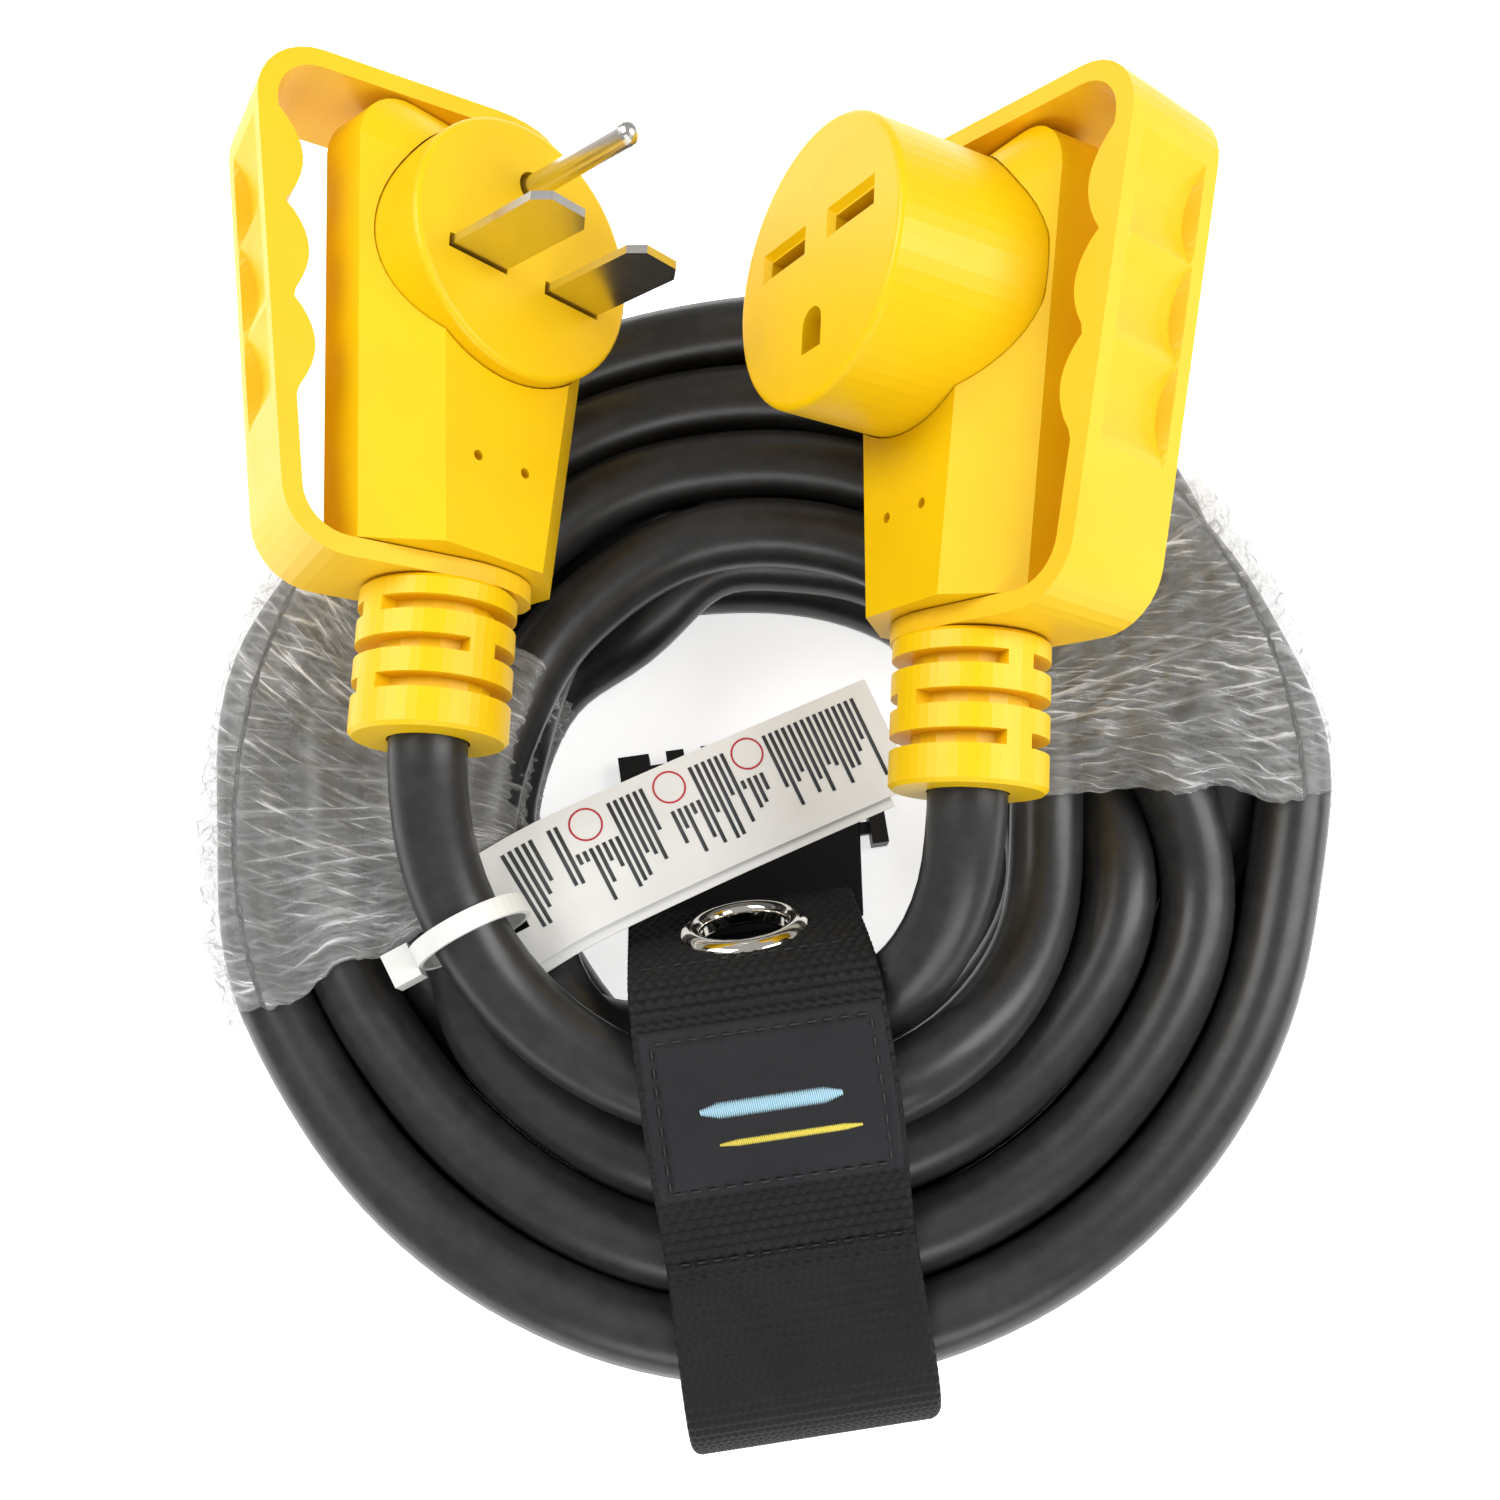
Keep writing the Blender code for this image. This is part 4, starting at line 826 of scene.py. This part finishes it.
def strap_stitches():
    shape = bmesh.new()
    reach = STRAP_WIDTH / 2 - STITCH_INSET
    lift = STRAP_THICKNESS / 2 + 0.0001
    for middle in STITCH_ROWS:
        stitch_run(shape, (middle, -reach), (middle, reach), lift, 0.0003)
    thread = moulded_plastic("thread_black", (0.020, 0.020, 0.022), (0.012, 0.012, 0.013), 0.5)
    finish_bmesh("strap_stitching", shape, thread)


LABEL_LIFT = STRAP_THICKNESS / 2 + 0.00055
LABEL_HALF = STRAP_WIDTH / 2 - 0.0010
LABEL_TUCK = 0.0002
LABEL_CROWN = 0.0007
LABEL_SEAM = 0.0026
LABEL_TWILL_PITCH = 0.0009


def label_patch():
    """The woven label: a padded satin patch with turned edges, sewn down round its border."""
    along, across = spread_grid(LABEL_IN, LABEL_OUT, LABEL_HALF, 90, 130)
    border = np.minimum(np.minimum(along - LABEL_IN, LABEL_OUT - along), LABEL_HALF - np.abs(across))
    crown = LABEL_CROWN * (1 - np.exp(-border / 0.0006))
    seam = 0.00045 * np.exp(-(((border - LABEL_SEAM) / 0.0007) ** 2))
    twill = 0.00005 * np.sin((along + across) * 2 * np.pi / LABEL_TWILL_PITCH)
    near_seam = np.exp(-(((border - LABEL_SEAM) / 0.0018) ** 2))
    pucker = 0.00012 * np.sin(across * 2 * np.pi / STITCH_PITCH) * near_seam
    top = LABEL_LIFT + crown - seam + twill + pucker
    bottom = np.full_like(top, LABEL_LIFT - LABEL_TUCK)
    piece = layer_on_strap("label_patch", along, across, top, bottom)
    paint(piece, MATERIALS["strap_label"])
    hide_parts("strap_label")
    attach(piece, "cord")
    shape = bmesh.new()
    low, high, side = LABEL_IN + LABEL_SEAM, LABEL_OUT - LABEL_SEAM, LABEL_HALF - LABEL_SEAM
    lift = LABEL_LIFT + 0.0004
    for start, end in (
        ((low, -side), (low, side)),
        ((low, side), (high, side)),
        ((high, side), (high, -side)),
        ((high, -side), (low, -side)),
    ):
        stitch_run(shape, start, end, lift, 0.00024)
    thread = moulded_plastic("thread_grey", (0.035, 0.035, 0.038), (0.025, 0.025, 0.027), 0.5)
    finish_bmesh("label_stitching", shape, thread)


THREAD_PITCH = 0.00042
THREAD_RADIUS = 0.00022


def embroidered_bar(name, along, across, length, height, colour):
    """A plain embroidered bar in satin stitch: many fine threads side by side."""
    shape = bmesh.new()
    count = round(length / THREAD_PITCH)
    for k in range(count):
        place = across + length * ((k + 0.5) / count - 0.5)
        taper = min(1.0, 5 * min(k + 0.5, count - k - 0.5) / count + 0.35)
        ends = [(along + side * height / 2 * taper, place + side * 0.00012) for side in (-1, 1)]
        lift = LABEL_LIFT + 0.00070
        a = on_strap(*ends[0], lift)
        b = on_strap(*ends[1], lift)
        up = Vector(on_strap(*ends[0], lift + 0.001) - a).normalized()
        thread_dash(shape, a, b, up, THREAD_RADIUS)
    thread = moulded_plastic(f"thread_{name}", colour, tuple(c * 0.8 for c in colour), 0.45)
    finish_bmesh(name, shape, thread)


strap_webbing()
eyelet()
strap_stitches()
label_patch()
LABEL_MIDDLE = (LABEL_IN + LABEL_OUT) / 2
embroidered_bar("label_bar_blue", LABEL_MIDDLE - 0.0005, 0.0000, 0.028, 0.0030, (0.42, 0.66, 0.78))
embroidered_bar("label_bar_yellow", LABEL_MIDDLE + 0.0056, 0.0030, 0.028, 0.0014, (0.80, 0.66, 0.10))


# ---------------------------------------------------------------- the clear film

# Each wrap's span round the coil, in degrees, and where its noise is read, so that the two differ.
FILM_RANGES = {"left": (150, 203, 3.7), "right": (0, 38, 9.1)}
FILM_STEP = 0.7
FILM_SAMPLES = 190
FILM_STANDOFF = 0.0014
FILM_LEAST_LIFT = 0.0006
FILM_THICKNESS = 0.00012
FILM_MEAN_RADIUS = 0.09
# The section that the film is drawn round: inner and outer radius, lowest and highest point, corner.
FILM_SECTION = (0.0570, 0.1245, 0.0016, 0.0482, 0.0085)
# The leads pass well above the film, so only the lower part of the cable lifts it.
TURNS_BELOW = CABLE_LINE[CABLE_LINE[:, 2] < 0.0495]


def noise_at(where):
    return noise.fractal(where, 0.6, 2.1, 4)


def lift_over_turns(x, y, z):
    """The lowest height at which the film's top clears the turns below it."""
    clear = CABLE_RADIUS + FILM_STANDOFF
    beside = (TURNS_BELOW[:, 0] - x) ** 2 + (TURNS_BELOW[:, 1] - y) ** 2
    close = beside < clear**2
    if not close.any():
        return z
    return max(z, float((TURNS_BELOW[close, 2] + np.sqrt(clear**2 - beside[close])).max()))


def film_section(samples):
    """Evenly spaced places round the bundle's section with outward directions, and how far round each is."""
    inner, outer, low, high, corner = FILM_SECTION
    spots = []
    for r, z, start in (
        (outer - corner, high - corner, 90),
        (outer - corner, low + corner, 0),
        (inner + corner, low + corner, -90),
        (inner + corner, high - corner, -180),
    ):
        for k in range(13):
            angle = math.radians(start - 90 * k / 12)
            spots.append((r, z, math.cos(angle), math.sin(angle)))
    line = np.array([(r + c * corner, z + n * corner, c, n) for r, z, c, n in spots])
    line = np.concatenate([line, line[:1]])
    along = np.concatenate([[0], np.cumsum(np.linalg.norm(np.diff(line[:, :2], axis=0), axis=1))])
    places = np.linspace(0, along[-1], samples, endpoint=False)
    return np.stack([np.interp(places, along, line[:, k]) for k in range(4)], axis=1), places


def film(side, start, end, seed):
    """One wrap of film, pulled round the turns in long creases, with a ragged edge."""
    samples = FILM_SAMPLES
    section, places = film_section(samples)
    steps = round((end - start) / FILM_STEP)
    rows = []
    for i in range(steps + 1):
        share = i / steps
        for j in range(samples):
            r, z, out_r, out_z = section[j]
            where = Vector((places[j] * 26, share * 5.0, seed))
            ragged = noise_at(Vector((places[j] * 60, 7.0, 0))) * 1.6 * (1 if share < 0.5 else -1)
            azimuth = math.radians(start + (end - start) * share + ragged * abs(2 * share - 1) ** 3)
            crease = abs(noise_at(where * 3.1)) * 0.0016 - 0.0004
            crinkle = noise_at(Vector((places[j] * 210, share * 60, 1.3))) * 0.0004
            ridges = math.sin(azimuth * 110 + noise_at(where) * 9) * 0.00035
            lift = max(FILM_STANDOFF + crease + crinkle + ridges, FILM_LEAST_LIFT)
            radius = r + out_r * lift
            height = max(z + out_z * lift, 0.0003)
            x, y = radius * math.cos(azimuth), radius * math.sin(azimuth) + CENTRE_Y
            rows.append((x, y, lift_over_turns(x, y, height) if out_z > 0.5 else height))
    faces = []
    for i in range(steps):
        for j in range(samples):
            k = (j + 1) % samples
            low, high = i * samples, (i + 1) * samples
            faces.append((low + j, low + k, high + k, high + j))
    piece = mesh_object(f"film_{side}", rows, faces)
    arc = (end - start) * math.radians(1) * FILM_MEAN_RADIUS
    add_uv(piece, [(places[j], arc * i / steps) for i in range(steps + 1) for j in range(samples)])
    recalc_outward(piece)
    solid = piece.modifiers.new("thickness", "SOLIDIFY")
    solid.thickness = FILM_THICKNESS
    solid.offset = 1
    apply_modifiers(piece)
    paint(piece, MATERIALS["clear_film"])
    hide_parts(f"film_wrap_{side}")
    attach(piece, "cord")


for film_side, film_range in FILM_RANGES.items():
    film(film_side, *film_range)


# ---------------------------------------------------------------- print on the tag

TAG_ROUTE = (
    (-0.0652, -0.0312, 0.0514),
    (-0.0600, -0.0285, 0.0514),
    (-0.0450, -0.0190, 0.0498),
    (-0.0200, -0.0060, 0.0445),
    (0.0050, 0.0060, 0.0405),
    (0.0270, 0.0160, 0.0390),
)
TAG_LIFT = 0.00056
INK = 0.00006
BAR_HALF_WIDTH = 0.00042
BAR_PITCH = 0.00155
BAR_GAP = 0.0026
RING_SPOTS = (0.034, 0.054, 0.073)
RING_OUTER = 0.0037
RING_INNER = 0.0033
RING_ACROSS = 0.0082
RING_STEPS = 32


def tag_spot(line, along, across, lift):
    """A point on the tag, from distances along it and across it and a lift off its middle."""
    steps = np.concatenate([[0], np.cumsum(np.linalg.norm(np.diff(line, axis=0), axis=1))])
    centre = Vector([float(np.interp(along, steps, line[:, axis])) for axis in range(3)])
    ahead = Vector([float(np.interp(along + 0.003, steps, line[:, axis])) for axis in range(3)])
    behind = Vector([float(np.interp(along - 0.003, steps, line[:, axis])) for axis in range(3)])
    forward = (ahead - behind).normalized()
    side = Vector((0, 0, 1)).cross(forward).normalized()
    up = forward.cross(side)
    return centre + side * across + up * lift + Vector((0, CENTRE_Y, 0))


def print_bars(line):
    """Plain bars across the tag, uneven in length and broken into blocks."""
    random_lengths = np.random.default_rng(5)
    bars = bmesh.new()
    along = 0.016
    while along < 0.100:
        if int(along * 1000) % 26 in (23, 24):
            along += BAR_GAP
            continue
        left = 0.0105
        right = left - 0.021 * (0.45 + 0.5 * random_lengths.random())
        if any(abs(along - spot) < 0.0048 for spot in RING_SPOTS):
            left = 0.0030
        near, far = along - BAR_HALF_WIDTH, along + BAR_HALF_WIDTH
        corners = [(near, right), (far, right), (far, left), (near, left)]
        low = [bars.verts.new(tag_spot(line, a, c, TAG_LIFT)) for a, c in corners]
        high = [bars.verts.new(tag_spot(line, a, c, TAG_LIFT + INK)) for a, c in corners]
        bars.faces.new(low[::-1])
        bars.faces.new(high)
        for k in range(4):
            bars.faces.new((low[k], low[(k + 1) % 4], high[(k + 1) % 4], high[k]))
        along += BAR_PITCH
    ink = moulded_plastic("print_grey", (0.07, 0.075, 0.08), (0.05, 0.055, 0.06), 0.5)
    finish_bmesh("tag_print_bars", bars, ink, "tag_body")


def print_rings(line):
    """Plain rings beside the bars."""
    rings = bmesh.new()
    angles = [2 * math.pi * k / RING_STEPS for k in range(RING_STEPS)]
    for spot in RING_SPOTS:
        loops = []
        for radius, lift in ((RING_OUTER, 0), (RING_OUTER, INK), (RING_INNER, INK), (RING_INNER, 0)):
            loop = []
            for angle in angles:
                along = spot + radius * math.cos(angle)
                across = RING_ACROSS + radius * math.sin(angle)
                loop.append(rings.verts.new(tag_spot(line, along, across, TAG_LIFT + lift)))
            loops.append(loop)
        for a, b in zip(loops, loops[1:] + loops[:1]):
            for k in range(RING_STEPS):
                m = (k + 1) % RING_STEPS
                rings.faces.new((a[k], a[m], b[m], b[k]))
    red = moulded_plastic("print_red", (0.60, 0.03, 0.05), (0.50, 0.02, 0.04), 0.5)
    finish_bmesh("tag_print_rings", rings, red, "tag_body")


def tag_print():
    """Plain printed bars in place of the tag's text, and plain rings in place of its symbols."""
    line = resample(catmull_rom(TAG_ROUTE, 6), 0.006)
    print_bars(line)
    print_rings(line)


tag_print()


# ---------------------------------------------------------------- softened edges on the CAD nodes


def soften(name, width, segments=2, angle=32):
    bevel = node(name).modifiers.new("soft_edges", "BEVEL")
    bevel.width = width
    bevel.segments = segments
    bevel.limit_method = "ANGLE"
    bevel.angle_limit = math.radians(angle)
    bevel.harden_normals = False


for end in ("plug", "connector"):
    soften(f"{end}_shell", 0.0011, 3, 24)
    soften(f"{end}_handle", 0.0006)
    soften(f"{end}_face", 0.0004)
    soften(f"{end}_strain_relief", 0.0004)
for number in (1, 2):
    soften(f"plug_blade_line_{number}", 0.0003)


# ---------------------------------------------------------------- camera, light and floor


CAMERA_LENS = 37.31
CAMERA_PLACE = (-0.0044, -0.0683 + CENTRE_Y, 0.3781)
CAMERA_TILT = math.radians(90 - 76.7)
FLOOR_DROP = 0.0002


def camera():
    data = bpy.data.cameras.new("camera")
    data.sensor_width = 36
    data.lens = CAMERA_LENS
    obj = new_object("camera", data)
    obj.location = CAMERA_PLACE
    obj.rotation_euler = (CAMERA_TILT, 0, 0)
    data.clip_start = 0.01
    bpy.context.scene.camera = obj


def area_light(name, place, target, size, power):
    data = bpy.data.lights.new(name, "AREA")
    data.shape = "RECTANGLE"
    data.size = size[0]
    data.size_y = size[1]
    data.energy = power
    obj = new_object(name, data)
    obj.location = place
    direction = Vector(target) - Vector(place)
    obj.rotation_euler = direction.to_track_quat("-Z", "Y").to_euler()


def studio():
    world = bpy.data.worlds.new("studio")
    world.use_nodes = True
    background = world.node_tree.nodes["Background"]
    background.inputs["Color"].default_value = (1, 1, 1, 1)
    background.inputs["Strength"].default_value = 0.42
    bpy.context.scene.world = world
    area_light("key_left", (-0.75, 0.35, 0.85), (0, 0, 0.03), (0.5, 0.9), 9)
    area_light("key_right", (0.8, 0.1, 0.8), (0, 0, 0.03), (0.4, 0.9), 8)
    area_light("front", (0.1, -0.9, 0.55), (0, 0, 0.04), (0.9, 0.3), 4)
    bpy.context.scene.view_settings.view_transform = "Standard"
    bpy.context.scene.view_settings.look = "None"
    shape = bmesh.new()
    bmesh.ops.create_grid(shape, x_segments=2, y_segments=2, size=3)
    mesh = bpy.data.meshes.new("floor")
    shape.to_mesh(mesh)
    shape.free()
    floor = new_object("floor", mesh)
    floor.location.z = -FLOOR_DROP
    n = Nodes("floor_white", (0.93, 0.93, 0.93), 0.9)
    n.shader.inputs["Specular IOR Level"].default_value = 0.1
    n.shader.inputs["Emission Color"].default_value = (1, 1, 1, 1)
    n.shader.inputs["Emission Strength"].default_value = 0.70
    paint(floor, n.material)


camera()
studio()
